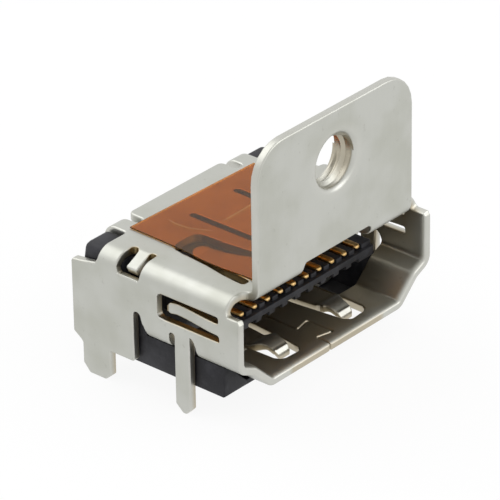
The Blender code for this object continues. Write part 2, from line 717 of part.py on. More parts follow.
def contact_places():
    """Each contact's x and whether it is in the upper row; the lower row sits between the upper."""
    upper = [((i - (UPPER_COUNT - 1) / 2) * PITCH, True) for i in range(UPPER_COUNT)]
    lower = [((i - (LOWER_COUNT - 1) / 2) * PITCH, False) for i in range(LOWER_COUNT)]
    return upper + lower


def contact_path(top):
    """Middle line of a contact in y and z, with its width: nose, beam, drop and board tail."""
    side = 1 if top else -1
    drop = UPPER_DROP_Y if top else LOWER_DROP_Y
    beam = TONGUE_MID + side * (TONGUE_HALF_T + CONTACT_PROUD - CONTACT_T / 2)
    w = CONTACT_W
    path = []
    for a, share in ((0, 0.7), (35, 0.82), (65, 0.94), (90, 1.0)):
        y = NOSE_Y + NOSE_DROP * (1 - math.cos(math.radians(a)))
        z = beam - side * NOSE_DROP * (1 - math.sin(math.radians(a)))
        path.append(((y, z), w * share))
    r = TAIL_BEND_R + CONTACT_T / 2
    path += [(p, w) for p in arc(drop - r, beam - r, r, 90, 0, 4)]
    path += [((drop, beam - r - 0.3), w), ((drop, beam - r - 0.55), TAIL_W)]
    low = CONTACT_T / 2
    path += [(p, TAIL_W) for p in arc(drop + r, low + r, r, 180, 270, 4)]
    path += [((TAIL_END, low), TAIL_W)]
    return path


def build_contact(x, top):
    """Sweep a flat strip along the middle line, with a mitre at each point."""
    path = contact_path(top)
    bm = bmesh.new()
    rows = []
    for i, ((y, z), w) in enumerate(path):
        here = Vector((y, z))
        before = Vector(path[i - 1][0]) if i else None
        after = Vector(path[i + 1][0]) if i + 1 < len(path) else None
        into = (here - before).normalized() if before else None
        out = (after - here).normalized() if after else None
        if into is None:
            normal = Vector((-out.y, out.x))
        elif out is None:
            normal = Vector((-into.y, into.x))
        else:
            n0 = Vector((-into.y, into.x))
            n1 = Vector((-out.y, out.x))
            normal = (n0 + n1).normalized()
            normal /= max(normal.dot(n1), 0.5)
        row = []
        for half_w, half_t in ((-1, -1), (1, -1), (1, 1), (-1, 1)):
            p = here + normal * (half_t * CONTACT_T / 2)
            row.append(bm.verts.new((x + half_w * w / 2, p.x + MOUTH_Y, p.y)))
        rows.append(row)
    for one, two in zip(rows, rows[1:]):
        for k in range(4):
            n = (k + 1) % 4
            bm.faces.new((one[k], one[n], two[n], two[k]))
    bm.faces.new(rows[0][::-1])
    bm.faces.new(rows[-1])
    bmesh.ops.recalc_face_normals(bm, faces=bm.faces)
    bmesh.ops.triangulate(bm, faces=[f for f in bm.faces if len(f.verts) > 3])
    return bm


def build_tape(material):
    """Amber film over the top panel, a hair above the sheet."""
    z = TOP_OUT + TAPE_LIFT
    bm = bmesh.new()
    face = bm.faces.new([bm.verts.new((x, y + MOUTH_Y, z)) for x, y in TAPE])
    run = bmesh.ops.extrude_face_region(bm, geom=[face])
    moved = [v for v in run["geom"] if isinstance(v, bmesh.types.BMVert)]
    bmesh.ops.translate(bm, verts=moved, vec=(0, 0, TAPE_T))
    bmesh.ops.recalc_face_normals(bm, faces=bm.faces)
    return add_object("cover_tape", bm, material)


def finish(name, colour, roughness, metallic, alpha=1.0):
    material = bpy.data.materials.new(name)
    material.use_nodes = True
    shader = material.node_tree.nodes["Principled BSDF"]
    shader.inputs["Base Color"].default_value = (*colour, 1.0)
    shader.inputs["Roughness"].default_value = roughness
    shader.inputs["Metallic"].default_value = metallic
    shader.inputs["Alpha"].default_value = alpha
    return material


def main():
    for obj in list(bpy.data.objects):
        bpy.data.objects.remove(obj, do_unlink=True)
    sheet = finish("nickel plated sheet", (0.56, 0.55, 0.52), 0.34, 1.0)
    plastic = finish("black insulator", (0.022, 0.022, 0.025), 0.55, 0.0)
    film = finish("amber film", (0.42, 0.13, 0.03), 0.2, 0.0)
    shell = add_object("shell", build_shell(), sheet)
    shell.data.shade_smooth()
    shell.data.set_sharp_from_angle(angle=math.radians(28))
    build_housing(plastic)
    for number, (x, top) in enumerate(contact_places()):
        row = "upper" if top else "lower"
        place = number + 1 if top else number - UPPER_COUNT + 1
        name = f"{row}_contact_{place:02d}"
        gold = finish(name + " gold plate", (0.83, 0.58, 0.25), 0.25, 1.0)
        contact = add_object(name, build_contact(x, top), gold)
        contact.data.shade_smooth()
        contact.data.set_sharp_from_angle(angle=math.radians(35))
    build_tape(film)


main()
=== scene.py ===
import math
from functools import partial

import bmesh
import bpy
import numpy as np
from mathutils import Matrix, Vector
from mathutils.geometry import delaunay_2d_cdt


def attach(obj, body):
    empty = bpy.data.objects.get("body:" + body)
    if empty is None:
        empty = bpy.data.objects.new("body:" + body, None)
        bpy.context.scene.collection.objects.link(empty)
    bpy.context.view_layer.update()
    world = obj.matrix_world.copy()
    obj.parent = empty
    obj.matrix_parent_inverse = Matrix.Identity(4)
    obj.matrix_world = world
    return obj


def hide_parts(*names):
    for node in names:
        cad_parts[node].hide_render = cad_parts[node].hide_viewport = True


# Looks of a right-angle board socket: nickel plated sheet shell with rolled cut edges, black
# moulded insulator, nineteen gold plated contacts, a tapped collar and an amber film on top.
# Lengths are in millimetres, and in metres in the meshes. On the sheet's flat blank u runs
# across from the centre line, v from front to rear and w through the thickness.

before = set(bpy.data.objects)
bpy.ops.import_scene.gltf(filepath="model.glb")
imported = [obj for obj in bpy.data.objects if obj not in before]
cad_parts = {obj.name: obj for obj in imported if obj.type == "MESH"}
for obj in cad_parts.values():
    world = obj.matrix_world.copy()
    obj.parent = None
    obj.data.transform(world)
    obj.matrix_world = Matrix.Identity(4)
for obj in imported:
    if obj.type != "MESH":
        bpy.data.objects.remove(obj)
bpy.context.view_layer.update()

MM = 0.001
MOUTH_Y = -8.0                  # front edge of the mouth
GROUND_Z = -1.5                 # tips of the four legs


# Surfaces


def grid_mesh(name, points, wrap_u=False, wrap_v=False, caps=False):
    """Mesh of a grid of points, an array of rows by columns by xyz in millimetres.

    Neighbouring rows and columns are joined by quads; wrap closes a direction on itself, and
    caps closes the first and last row with one face each.
    """
    rows, cols = points.shape[:2]
    index = np.arange(rows * cols).reshape(rows, cols)
    if wrap_u:
        index = np.vstack([index, index[:1]])
    if wrap_v:
        index = np.hstack([index, index[:, :1]])
    quads = np.stack([index[:-1, :-1], index[:-1, 1:], index[1:, 1:], index[1:, :-1]], axis=-1)
    faces = quads.reshape(-1, 4).tolist()
    if caps:
        faces.append(index[0, :cols][::-1].tolist())
        faces.append(index[rows - 1, :cols].tolist())
    mesh = bpy.data.meshes.new(name)
    mesh.from_pydata((points.reshape(-1, 3) * MM).tolist(), [], faces)
    mesh.validate()
    return mesh


def outward(mesh, fill=False):
    """Turn all faces of a closed mesh outwards, once its open ends are filled where asked."""
    bm = bmesh.new()
    bm.from_mesh(mesh)
    if fill:
        bmesh.ops.holes_fill(bm, edges=[e for e in bm.edges if e.is_boundary], sides=0)
    bmesh.ops.recalc_face_normals(bm, faces=bm.faces)
    bm.to_mesh(mesh)
    bm.free()


def set_mask(mesh, name, values):
    """Store one value for each vertex, for the materials to read."""
    mesh.attributes.new(name, "FLOAT", "POINT").data.foreach_set("value", values)


def add_object(name, data):
    made = bpy.data.objects.new(name, data)
    bpy.context.scene.collection.objects.link(made)
    return made


def place(name, mesh, material, node=None):
    """Put a finished piece into the scene on the part's one body."""
    piece = add_object(name, mesh)
    mesh.materials.clear()
    mesh.materials.append(material)
    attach(piece, "root")
    if node:
        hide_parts(node)


def place_swept(name, points, material, node=None, painted_shade=None, sharp=None):
    """Put in a tube of closed rows of points with flat ends.

    painted_shade holds one value of painted shade for each point, and edges of more than sharp
    degrees stay crisp.
    """
    mesh = grid_mesh(name, points, wrap_v=True, caps=True)
    if painted_shade is not None:
        set_mask(mesh, "painted_shade", painted_shade)
    outward(mesh)
    mesh.shade_smooth()
    if sharp:
        mesh.set_sharp_from_angle(angle=math.radians(sharp))
    place(name, mesh, material, node)


def round_corners(steps):
    """Signs of a rectangle's four corners and the angles of their arcs, steps to a corner."""
    a = np.radians(np.add.outer([0, 90, 180, 270], np.linspace(0, 90, steps)).ravel())
    return np.repeat(np.array([[1, 1], [-1, 1], [-1, -1], [1, -1]]), steps, axis=0), a


MERGE_DISTANCE = 2e-7           # metres, for the doubled corners of a solid's triangles
FLAT_ANGLE, CRISP_ANGLE = 0.4, 38


def softened(node, name, width, segments, angle):
    """Copy of a CAD solid with its sharp edges rolled over.

    The copy's loose triangles are merged, flat neighbours joined, and each edge sharper than
    angle degrees gets a round of the given width.
    """
    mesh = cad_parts[node].data.copy()
    mesh.name = name
    bm = bmesh.new()
    bm.from_mesh(mesh)
    bmesh.ops.remove_doubles(bm, verts=bm.verts, dist=MERGE_DISTANCE)
    bmesh.ops.dissolve_limit(bm, angle_limit=math.radians(FLAT_ANGLE), verts=bm.verts,
                             edges=bm.edges)
    sharp = [e for e in bm.edges if len(e.link_faces) == 2
             and e.calc_face_angle(0.0) > math.radians(angle)]
    bmesh.ops.bevel(bm, geom=sharp, offset=width * MM, segments=segments, profile=0.5,
                    affect="EDGES", clamp_overlap=True, miter_outer="ARC")
    bmesh.ops.triangulate(bm, faces=[f for f in bm.faces if len(f.verts) > 4])
    bm.to_mesh(mesh)
    bm.free()
    mesh.shade_smooth()
    mesh.set_sharp_from_angle(angle=math.radians(CRISP_ANGLE))
    return mesh


# Shader node groups


def new_group(name, inputs):
    """Shader node group with inputs by name and value, that puts out colour, roughness, height.

    Returns the group, the sockets that carry its inputs, and its output node.
    """
    group = bpy.data.node_groups.new(name, "ShaderNodeTree")
    for label, value in inputs.items():
        kind = "NodeSocketColor" if isinstance(value, tuple) else "NodeSocketFloat"
        socket = group.interface.new_socket(label, in_out="INPUT", socket_type=kind)
        socket.default_value = value
    for label, kind in (("Colour", "Color"), ("Roughness", "Float"), ("Height", "Float")):
        group.interface.new_socket(label, in_out="OUTPUT", socket_type="NodeSocket" + kind)
    return group, group.nodes.new("NodeGroupInput").outputs, group.nodes.new("NodeGroupOutput")


def feed(tree, into, values):
    """Link outputs into a node's sockets, or set the sockets to plain values, by name or number."""
    for key, value in values.items():
        if hasattr(value, "is_output"):
            tree.links.new(value, into.inputs[key])
        else:
            into.inputs[key].default_value = value


def add_node(tree, kind, values, **settings):
    """Shader node with its settings and its sockets fed."""
    made = tree.nodes.new(kind)
    for key, value in settings.items():
        setattr(made, key, value)
    feed(tree, made, values)
    return made


def math_node(tree, operation, a, b=0.0, clamp=False):
    """Result of a sum on one or two values; clamp keeps it from 0 to 1."""
    return add_node(tree, "ShaderNodeMath", {0: a, 1: b}, operation=operation,
                    use_clamp=clamp).outputs[0]


def mix_colour(tree, factor, a, b, blend="MIX"):
    """Colour a blended with colour b as far as the factor says."""
    return add_node(tree, "ShaderNodeMix", {0: factor, 6: a, 7: b}, data_type="RGBA",
                blend_type=blend).outputs[2]


def noise(tree, vector, scale, detail=3.0, roughness=0.55, distortion=0.0):
    return add_node(tree, "ShaderNodeTexNoise",
                {"Vector": vector, "Scale": scale, "Detail": detail, "Roughness": roughness,
                 "Distortion": distortion}).outputs["Fac"]


def ramp(tree, value, low, high):
    """Smooth step of a value from 0 at low to 1 at high."""
    return add_node(tree, "ShaderNodeMapRange", {"Value": value, "From Min": low, "From Max": high},
                interpolation_type="SMOOTHSTEP").outputs["Result"]


def stretched(tree, vector, scale):
    """Place scaled by a factor along each axis."""
    return add_node(tree, "ShaderNodeMapping", {"Vector": vector, "Scale": scale}).outputs["Vector"]


def object_place(tree):
    """Place in the piece's own frame, in metres."""
    return add_node(tree, "ShaderNodeTexCoord", {}).outputs["Object"]


def bumped(tree, height, strength, distance):
    """Normal of a surface whose height goes up and down by a distance."""
    return add_node(tree, "ShaderNodeBump", {"Height": height, "Strength": strength,
                                         "Distance": distance * MM}).outputs["Normal"]


def make_plate_marks_and_shade():
    """Cloudy plate: slow tone drift, rolling lines, tiny pits, fine scratches.

    Rims are lightened as burnished wear and painted highlight, and the painted shade mask darkens
    the colour to a brown.
    """
    group, into, out = new_group("plate_marks_and_shade", {
        "Plate": (0.5, 0.5, 0.48, 1), "Cloud": (0.45, 0.44, 0.4, 1), "Roughness": 0.3,
        "Rim": 0.0, "Painted_shade": 0.0})
    calc, spot = partial(math_node, group), object_place(group)
    cloud = noise(group, spot, 260.0, 3.0, 0.6)
    speck = noise(group, spot, 2600.0, 2.0, 0.7)
    lines = noise(group, stretched(group, spot, (9000.0, 700.0, 900.0)), 1.0, 3.0, 0.6)
    scratch = noise(group, stretched(group, spot, (700.0, 260.0, 420.0)), 1.0, 2.0, 0.5, 6.0)
    thin = ramp(group, calc("ABSOLUTE", calc("SUBTRACT", scratch, 0.5)), 0.0, 0.006)
    kept = ramp(group, noise(group, spot, 420.0, 1.0), 0.56, 0.66)
    thin = calc("MULTIPLY", calc("SUBTRACT", 1.0, thin), kept)
    tone = mix_colour(group, ramp(group, cloud, 0.38, 0.66), into["Plate"], into["Cloud"])
    pit = calc("MULTIPLY", ramp(group, speck, 0.66, 0.74), 0.18)
    tone = mix_colour(group, pit, tone, (0.25, 0.24, 0.2, 1))
    tone = mix_colour(group, calc("MULTIPLY", thin, 0.12), tone, (0.8, 0.8, 0.76, 1))
    # Rims lightened: burnished wear and painted highlight.
    tone = mix_colour(group, calc("MULTIPLY", into["Rim"], 0.35), tone, (0.66, 0.65, 0.6, 1))
    # Painted shade: a brown darkening as far as the mask says.
    tone = mix_colour(group, into["Painted_shade"], tone, (0.62, 0.4, 0.08, 1), "MULTIPLY")
    drift = calc("MULTIPLY", calc("SUBTRACT", cloud, 0.5), 0.22)
    grain = calc("MULTIPLY", calc("SUBTRACT", lines, 0.5), 0.12)
    rough = calc("ADD", calc("ADD", into["Roughness"], drift), grain)
    rough = calc("SUBTRACT", rough, calc("MULTIPLY", thin, 0.08))
    rough = calc("SUBTRACT", rough, calc("MULTIPLY", into["Rim"], 0.05), clamp=True)
    height = calc("ADD", calc("MULTIPLY", lines, 0.5), calc("MULTIPLY", speck, 0.5))
    height = calc("SUBTRACT", height, calc("MULTIPLY", thin, 0.6))
    feed(group, out, {"Colour": tone, "Roughness": rough, "Height": height})
    return group


def make_mould_grain():
    """Spark-eroded mould skin: fine cells for bump, slow drift of tone, dusty patches."""
    group, into, out = new_group("mould_grain", {
        "Resin": (0.02, 0.02, 0.022, 1), "Dust": (0.06, 0.06, 0.065, 1), "Roughness": 0.5,
        "Cell": 9000.0})
    calc, spot = partial(math_node, group), object_place(group)
    cell = noise(group, spot, into["Cell"], 4.0, 0.6)
    patch = noise(group, spot, 700.0, 4.0, 0.65)
    dusty = calc("MULTIPLY", ramp(group, patch, 0.42, 0.72), 0.6)
    spark = calc("MULTIPLY", ramp(group, cell, 0.55, 0.75), 0.3)
    tone = mix_colour(group, calc("ADD", dusty, spark, clamp=True), into["Resin"], into["Dust"])
    drift = calc("MULTIPLY", calc("SUBTRACT", patch, 0.5), 0.3)
    rough = calc("ADD", into["Roughness"], drift)
    feed(group, out, {"Colour": tone, "Roughness": rough, "Height": cell})
    return group


PLATE_MARKS_AND_SHADE = make_plate_marks_and_shade()
MOULD_GRAIN = make_mould_grain()


# Materials


def new_material(name):
    material = bpy.data.materials.new(name)
    material.use_nodes = True
    tree = material.node_tree
    return material, tree, tree.nodes["Principled BSDF"]


def dressed(name, group, values, bump, distance, plain):
    """Principled material whose colour, roughness and bump come from one of the groups."""
    material, tree, shader = new_material(name)
    detail = add_node(tree, "ShaderNodeGroup", {}, node_tree=group)
    feed(tree, detail, values)
    # Masks stored on each mesh: rims, lightened as burnished wear and painted highlight, and
    # painted shade.
    for key in ("Rim", "Painted_shade"):
        if key in detail.inputs:
            mask = add_node(tree, "ShaderNodeAttribute", {}, attribute_name=key.lower())
            feed(tree, detail, {key: mask.outputs["Fac"]})
    feed(tree, shader, {"Normal": bumped(tree, detail.outputs["Height"], bump, distance),
                        "Base Color": detail.outputs["Colour"],
                        "Roughness": detail.outputs["Roughness"], **plain})
    return material


nickel = dressed("nickel_plate", PLATE_MARKS_AND_SHADE,
                 {"Plate": (0.55, 0.555, 0.515, 1), "Cloud": (0.5, 0.505, 0.455, 1),
                  "Roughness": 0.44}, 0.35, 0.004, {"Metallic": 1.0})
gold = dressed("gold_plate", PLATE_MARKS_AND_SHADE,
               {"Plate": (0.6, 0.4, 0.18, 1), "Cloud": (0.5, 0.33, 0.13, 1),
                "Roughness": 0.3}, 0.2, 0.002, {"Metallic": 1.0})
resin = dressed("black_resin", MOULD_GRAIN,
                {"Resin": (0.01, 0.01, 0.013, 1), "Dust": (0.046, 0.046, 0.053, 1),
                 "Roughness": 0.48, "Cell": 9000.0}, 0.5, 0.01, {"Specular IOR Level": 0.3})


CREASE_TINT = (0.98, 0.72, 0.42, 1)
BOWED_X, BOWED_Y, BOWED_RATE = -3.02, -0.1, 0.2     # x = BOWED_X + BOWED_RATE * (y - BOWED_Y)^2
ACROSS_Y, ACROSS_RATE = -1.6, 0.02                  # y = ACROSS_Y + ACROSS_RATE * x
CREASE_WIDTH, CREASE_FADE = 0.05, 0.3


def crease(tree, value, line_value, along, start, end):
    """Thin line where a value equals the line's, faded out before start and after end."""
    calc = partial(math_node, tree)
    off = calc("ABSOLUTE", calc("SUBTRACT", value, line_value))
    mask = calc("SUBTRACT", 1.3, calc("DIVIDE", off, CREASE_WIDTH), clamp=True)
    begun, over = (ramp(tree, along, at - CREASE_FADE, at + CREASE_FADE) for at in (start, end))
    return calc("MULTIPLY", calc("MULTIPLY", mask, begun), calc("SUBTRACT", 1.0, over))


def make_film():
    """Amber film: clear tinted glass of thin sheet, with faint press marks and two creases.

    One crease bows with the square of y, the other runs nearly straight across.
    """
    material, tree, shader = new_material("amber_film")
    calc, spot = partial(math_node, tree), object_place(tree)
    smear = noise(tree, spot, 300.0, 3.0, 0.6)
    tint = mix_colour(tree, ramp(tree, smear, 0.35, 0.65), (0.84, 0.4, 0.09, 1),
                      (0.78, 0.36, 0.075, 1))
    split = add_node(tree, "ShaderNodeSeparateXYZ", {0: spot}).outputs
    x, y = (calc("DIVIDE", split[axis], MM) for axis in (0, 1))
    bowed = calc("POWER", calc("SUBTRACT", y, BOWED_Y), 2.0)
    bowed = calc("ADD", calc("MULTIPLY", bowed, BOWED_RATE), BOWED_X)
    across = calc("ADD", calc("MULTIPLY", x, ACROSS_RATE), ACROSS_Y)
    tint = mix_colour(tree, crease(tree, x, bowed, y, -1.8, 0.5), tint, CREASE_TINT)
    tint = mix_colour(tree, crease(tree, y, across, x, -1.15, 1.4), tint, CREASE_TINT)
    feed(tree, shader, {"Base Color": tint, "Transmission Weight": 1.0, "IOR": 1.3,
                        "Roughness": calc("ADD", 0.12, calc("MULTIPLY", smear, 0.1)),
                        "Normal": bumped(tree, smear, 0.25, 0.02)})
    return material


amber_film = make_film()


# Sheet: its flat blank, its folds and its rolled cut edges

T = 0.48                        # sheet thickness
MOUTH_W, MOUTH_H = 14.0, 4.55   # inside of the opening
SOLE = 0.85                     # inside floor above the board
CORNER_R, FOLD_R, SWAY_R = 0.52, 0.28, 0.85
WALL_END, BEND_IN = 1.55, 0.3
STEP_X, STEP_H, FLAT_X = 6.12, 1.15, 4.9
FLANGE_HALF, FLANGE_TOP, FLANGE_CORNER = 5.95, 13.76, 1.95
HOLE_Z, BORE_R, LIP_R = 10.9, 1.42, 0.32
COLLAR_R, COLLAR_FILLET, COLLAR_END = 1.8, 0.25, 1.38
WINDOW_HALF, WINDOW_REAR = 2.45, 1.3
RELIEF_REAR, RELIEF_R, LIP_TOP = 0.95, 0.34, 4.13
LEG_FRONT, LEG_REAR, LEG_TIP = 3.3, 4.3, -1.5
REAR_LEG_FRONT, REAR_LEG_REAR = 8.68, 10.56
WING_FRONT, WING_REAR, WING_BOTTOM = 7.04, 11.17, 0.26
TOP_REAR, SOLE_REAR = 9.46, 6.2
APRON_HALF, APRON_REAR, APRON_CORNER = 3.57, 10.8, 0.34
TAB_Y, TAB_IN, TAB_OUT, TAB_BOTTOM, NOTCH_FRONT = 11.02, 4.07, 5.15, 3.9, 9.65
SIDE_SPRING = (1.4, 4.78, 3.8, 4.48)
SIDE_SPRING_DIP, TOP_SPRING_DIP, SOLE_SPRING_RISE = 0.27, 0.42, 0.25
TOP_ROOT, TOP_TIP = 1.9, 5.94
SOLE_ROOT, SOLE_TIP, SOLE_BAR, SOLE_IN_X, SOLE_OUT_X = 5.4, 1.4, 1.62, 1.8, 3.12
SOLE_BEND, SOLE_CREST, SOLE_WIDE_X = 3.2, 2.5, 3.4
LATCH_FRONT, LATCH_REAR, LATCH_ROOT, LATCH_TIP = 6.98, 7.72, 5.98, 7.1
LATCH_RUN, LATCH_BEND, LATCH_ANGLE = 1.3, 0.2, math.radians(25)
LATCH_WINDOW = (6.62, 8.18)
SEAM_X, SEAM_GAP = -0.5, 0.04
ROLL = 0.1                      # radius of the rolled cut edges
LEAD_IN, LEAD_DEPTH = 0.4, 0.16    # rounding inside the mouth's front edge
SLACK = 0.01                    # how far a fold's or spring's area reaches past its outline

WALL_X = MOUTH_W / 2
TOP_IN = SOLE + MOUTH_H
TOP_OUT = TOP_IN + T
BEND_OUT = BEND_IN + T
FOLD_LENGTH = math.pi / 2 * (BEND_IN + T / 2)
REAR_FOLD = TAB_Y - BEND_OUT
FLANGE_V = BEND_OUT - FOLD_LENGTH - (FLANGE_TOP - TOP_IN - BEND_OUT)
HOLE_V = BEND_OUT - FOLD_LENGTH - (HOLE_Z - TOP_IN - BEND_OUT)
TAB_V = REAR_FOLD + FOLD_LENGTH + (TOP_OUT - BEND_OUT - TAB_BOTTOM)


def section(corners, steps):
    """Folded section from the centre line down the right-hand side.

    corners holds (x, z, inside radius): straight runs joined by arcs that start and end one
    radius times the tangent of half the turn before and after the corner. A negative radius
    folds away from the cavity. Returns distance along the inside, inside point and unit normal
    at each station, and the station numbers where the straight runs end.
    """
    run, inner, normals, ends = [0.0], [np.array(corners[0][:2])], [np.array([0.0, 1.0])], []
    for before, here, after in zip(corners, corners[1:], corners[2:]):
        p0, p1, p2 = (np.array(p[:2]) for p in (inner[-1], here, after))
        into = (p1 - p0) / np.linalg.norm(p1 - p0)
        out = (p2 - p1) / np.linalg.norm(p2 - p1)
        radius = here[2]
        turn = math.acos(np.clip(into @ out, -1, 1))
        start = p1 - into * abs(radius) * math.tan(turn / 2)
        normal = np.array([-into[1], into[0]])
        centre = start - normal * radius
        u = run[-1] + np.linalg.norm(start - p0)
        ends.append(len(run))
        for a in np.linspace(0.0, turn, steps + 1):
            c, s = math.cos(a), -math.copysign(math.sin(a), radius)
            n = np.array([normal[0] * c - normal[1] * s, normal[0] * s + normal[1] * c])
            run.append(u + abs(radius) * a)
            inner.append(centre + n * radius)
            normals.append(n)
    last = np.array(corners[-1][:2])
    run.append(run[-1] + np.linalg.norm(last - inner[-1]))
    inner.append(last)
    normals.append(normals[-1])
    return np.array(run), np.array(inner), np.array(normals), ends


RUN, INNER, NORMAL, ENDS = section([
    (0.0, TOP_IN, 0), (WALL_X, TOP_IN, CORNER_R), (WALL_X, SOLE + WALL_END, FOLD_R),
    (STEP_X, SOLE + STEP_H, -SWAY_R), (FLAT_X, SOLE, FOLD_R), (-1.0, SOLE, 0)], 14)
U_TOP = RUN[ENDS[0]]
U_WALL, Z_WALL = RUN[ENDS[1] - 1], INNER[ENDS[1] - 1][1]
U_FOLD, Z_FOLD = RUN[ENDS[1]], INNER[ENDS[1]][1]
U_SOLE, X_SOLE = RUN[-2], INNER[-2][0]


def u_wall(z):
    """Place on the blank of a height on the side wall, or on a straight leg below it."""
    return U_WALL + (Z_WALL - z)


def u_sole(x):
    """Place on the blank of a half width on the flat floor."""
    return U_SOLE + (X_SOLE - x)


def unit(vectors):
    """Vectors brought to length one."""
    return vectors / np.maximum(np.linalg.norm(vectors, axis=1, keepdims=True), 1e-12)


def smooth(k):
    """Cubic step from 0 to 1."""
    k = np.clip(k, 0.0, 1.0)
    return k * k * (3 - 2 * k)


def on_sole_spring(s, v):
    """Whether a place on the blank belongs to the bent part of a floor spring."""
    x = X_SOLE - (s - U_SOLE)
    near = (v > SOLE_TIP - 0.1) & (v < SOLE_BEND + 0.2)
    return near & (s > U_SOLE) & (x > SOLE_IN_X - 0.04) & (x < SOLE_WIDE_X)


def spring_depth(s, v):
    """How far the springs stand in from their panels.

    Side spring: a smooth step to the full dip at 88 percent of its length, then a lifted tip.
    Top spring: a cubic droop with a lifted tip. Floor spring: a smooth step up to a crest, then
    a head that falls with the square and, at its turned-down tip, power 14 of the way, with a
    bell-shaped bar pressed across it.
    """
    root, tip, low, high = SIDE_SPRING
    k = (v - root) / (tip - root)
    side = SIDE_SPRING_DIP * (smooth(k / 0.88) - 1.1 * np.maximum(k - 0.88, 0.0) / 0.24)
    on_side = (k >= 0) & (k <= 1) & (s >= u_wall(high) - SLACK) & (s <= u_wall(low) + SLACK)
    k = (v - TOP_ROOT) / (TOP_TIP - TOP_ROOT)
    top = TOP_SPRING_DIP * (k * k * (1.5 - 0.5 * k) - 0.5 * np.maximum(k - 0.85, 0.0) / 0.15)
    on_top = (k >= 0) & (k <= 1) & (s > 3.0) & (s < 5.03)
    fall = np.clip((SOLE_CREST - v) / (SOLE_CREST - SOLE_TIP), 0.0, 1.0)
    sole = SOLE_SPRING_RISE * smooth((SOLE_BEND - v) / (SOLE_BEND - SOLE_CREST))
    sole += 0.05 * np.exp(-((v - SOLE_BAR) / 0.06) ** 2) - 0.38 * fall ** 2 - 0.12 * fall ** 14
    return np.select([on_side, on_top, on_sole_spring(s, v)], [side, top, sole], 0.0)


def quarter_turn(run):
    """Angle of a fold's quarter turn at a distance past its start, and how far it is overrun."""
    return math.pi / 2 * np.clip(run / FOLD_LENGTH, 0.0, 1.0), np.maximum(run - FOLD_LENGTH, 0.0)


def fold(u, v, w):
    """Places of points of the blank.

    Each point takes the section's inner point plus its normal times w less the spring's depth;
    the heads of the floor springs are pressed thinner.
    In front of the front fold it turns round an axis above the panel, behind the tabs' fold round
    an axis below it, and past the quarter turn it runs on straight. A latch slopes off the top
    panel, and legs and wings run straight down from the side wall.
    """
    s = np.abs(u)
    side = np.where(u < 0, -1.0, 1.0)
    thin = np.where(on_sole_spring(s, v), 1 - 0.42 * smooth((2.6 - v) / 0.6), 1.0)
    lift = w * thin - spring_depth(s, v)
    x = np.interp(s, RUN, INNER[:, 0]) + np.interp(s, RUN, NORMAL[:, 0]) * lift
    z = np.interp(s, RUN, INNER[:, 1]) + np.interp(s, RUN, NORMAL[:, 1]) * lift
    up = (s <= U_TOP + 1e-5) & (v < BEND_OUT)
    a, past = quarter_turn(BEND_OUT - v)
    y = np.where(up, BEND_OUT - (BEND_OUT - w) * np.sin(a), v)
    z = np.where(up, TOP_IN + BEND_OUT - (BEND_OUT - w) * np.cos(a) + past, z)
    down = (s >= TAB_IN - SLACK) & (s <= U_TOP + 1e-5) & (v > REAR_FOLD)
    a, past = quarter_turn(v - REAR_FOLD)
    y = np.where(down, REAR_FOLD + (BEND_IN + w) * np.sin(a), y)
    z = np.where(down, TOP_OUT - BEND_OUT + (BEND_IN + w) * np.cos(a) - past, z)
    x = np.where(up | down, s, x)
    run = (s - LATCH_ROOT) * LATCH_RUN / (LATCH_TIP - LATCH_ROOT)
    a = LATCH_ANGLE * np.clip(run / LATCH_BEND, 0.0, 1.0)
    rest = np.maximum(run - LATCH_BEND, 0.0)
    bend = LATCH_BEND / LATCH_ANGLE
    latch = (v >= LATCH_FRONT - 2 * SLACK) & (v <= LATCH_REAR + 2 * SLACK)
    latch &= (s > LATCH_ROOT) & (s <= LATCH_TIP + 2 * SLACK)
    x = np.where(latch, LATCH_ROOT + (bend - T + w) * np.sin(a) + rest * np.cos(a), x)
    z = np.where(latch, TOP_OUT - bend * (1 - np.cos(a)) - rest * np.sin(a)
                 - (T - w) * np.cos(a), z)
    leg = (v >= LEG_FRONT - SLACK) & (v <= LEG_REAR + SLACK) & (s < u_wall(LEG_TIP) + SLACK)
    straight = (s > U_FOLD) & (leg | (v > WING_FRONT - SLACK))
    x = np.where(straight, WALL_X + w, x)
    z = np.where(straight, Z_FOLD - (s - U_FOLD), z)
    return np.stack([side * x, y + MOUTH_Y, z], axis=-1)


def arc(cx, cy, r, a0, a1):
    """Points of a circle arc from a0 to a1 degrees, six to a quarter turn."""
    a = np.radians(np.linspace(a0, a1, max(int(abs(a1 - a0) / 15), 1) + 1))
    return np.stack([cx + r * np.cos(a), cy + r * np.sin(a)], axis=-1)


def line(*parts):
    """One row of points from single points and arcs."""
    return np.vstack([np.atleast_2d(np.array(part, dtype=float)) for part in parts])


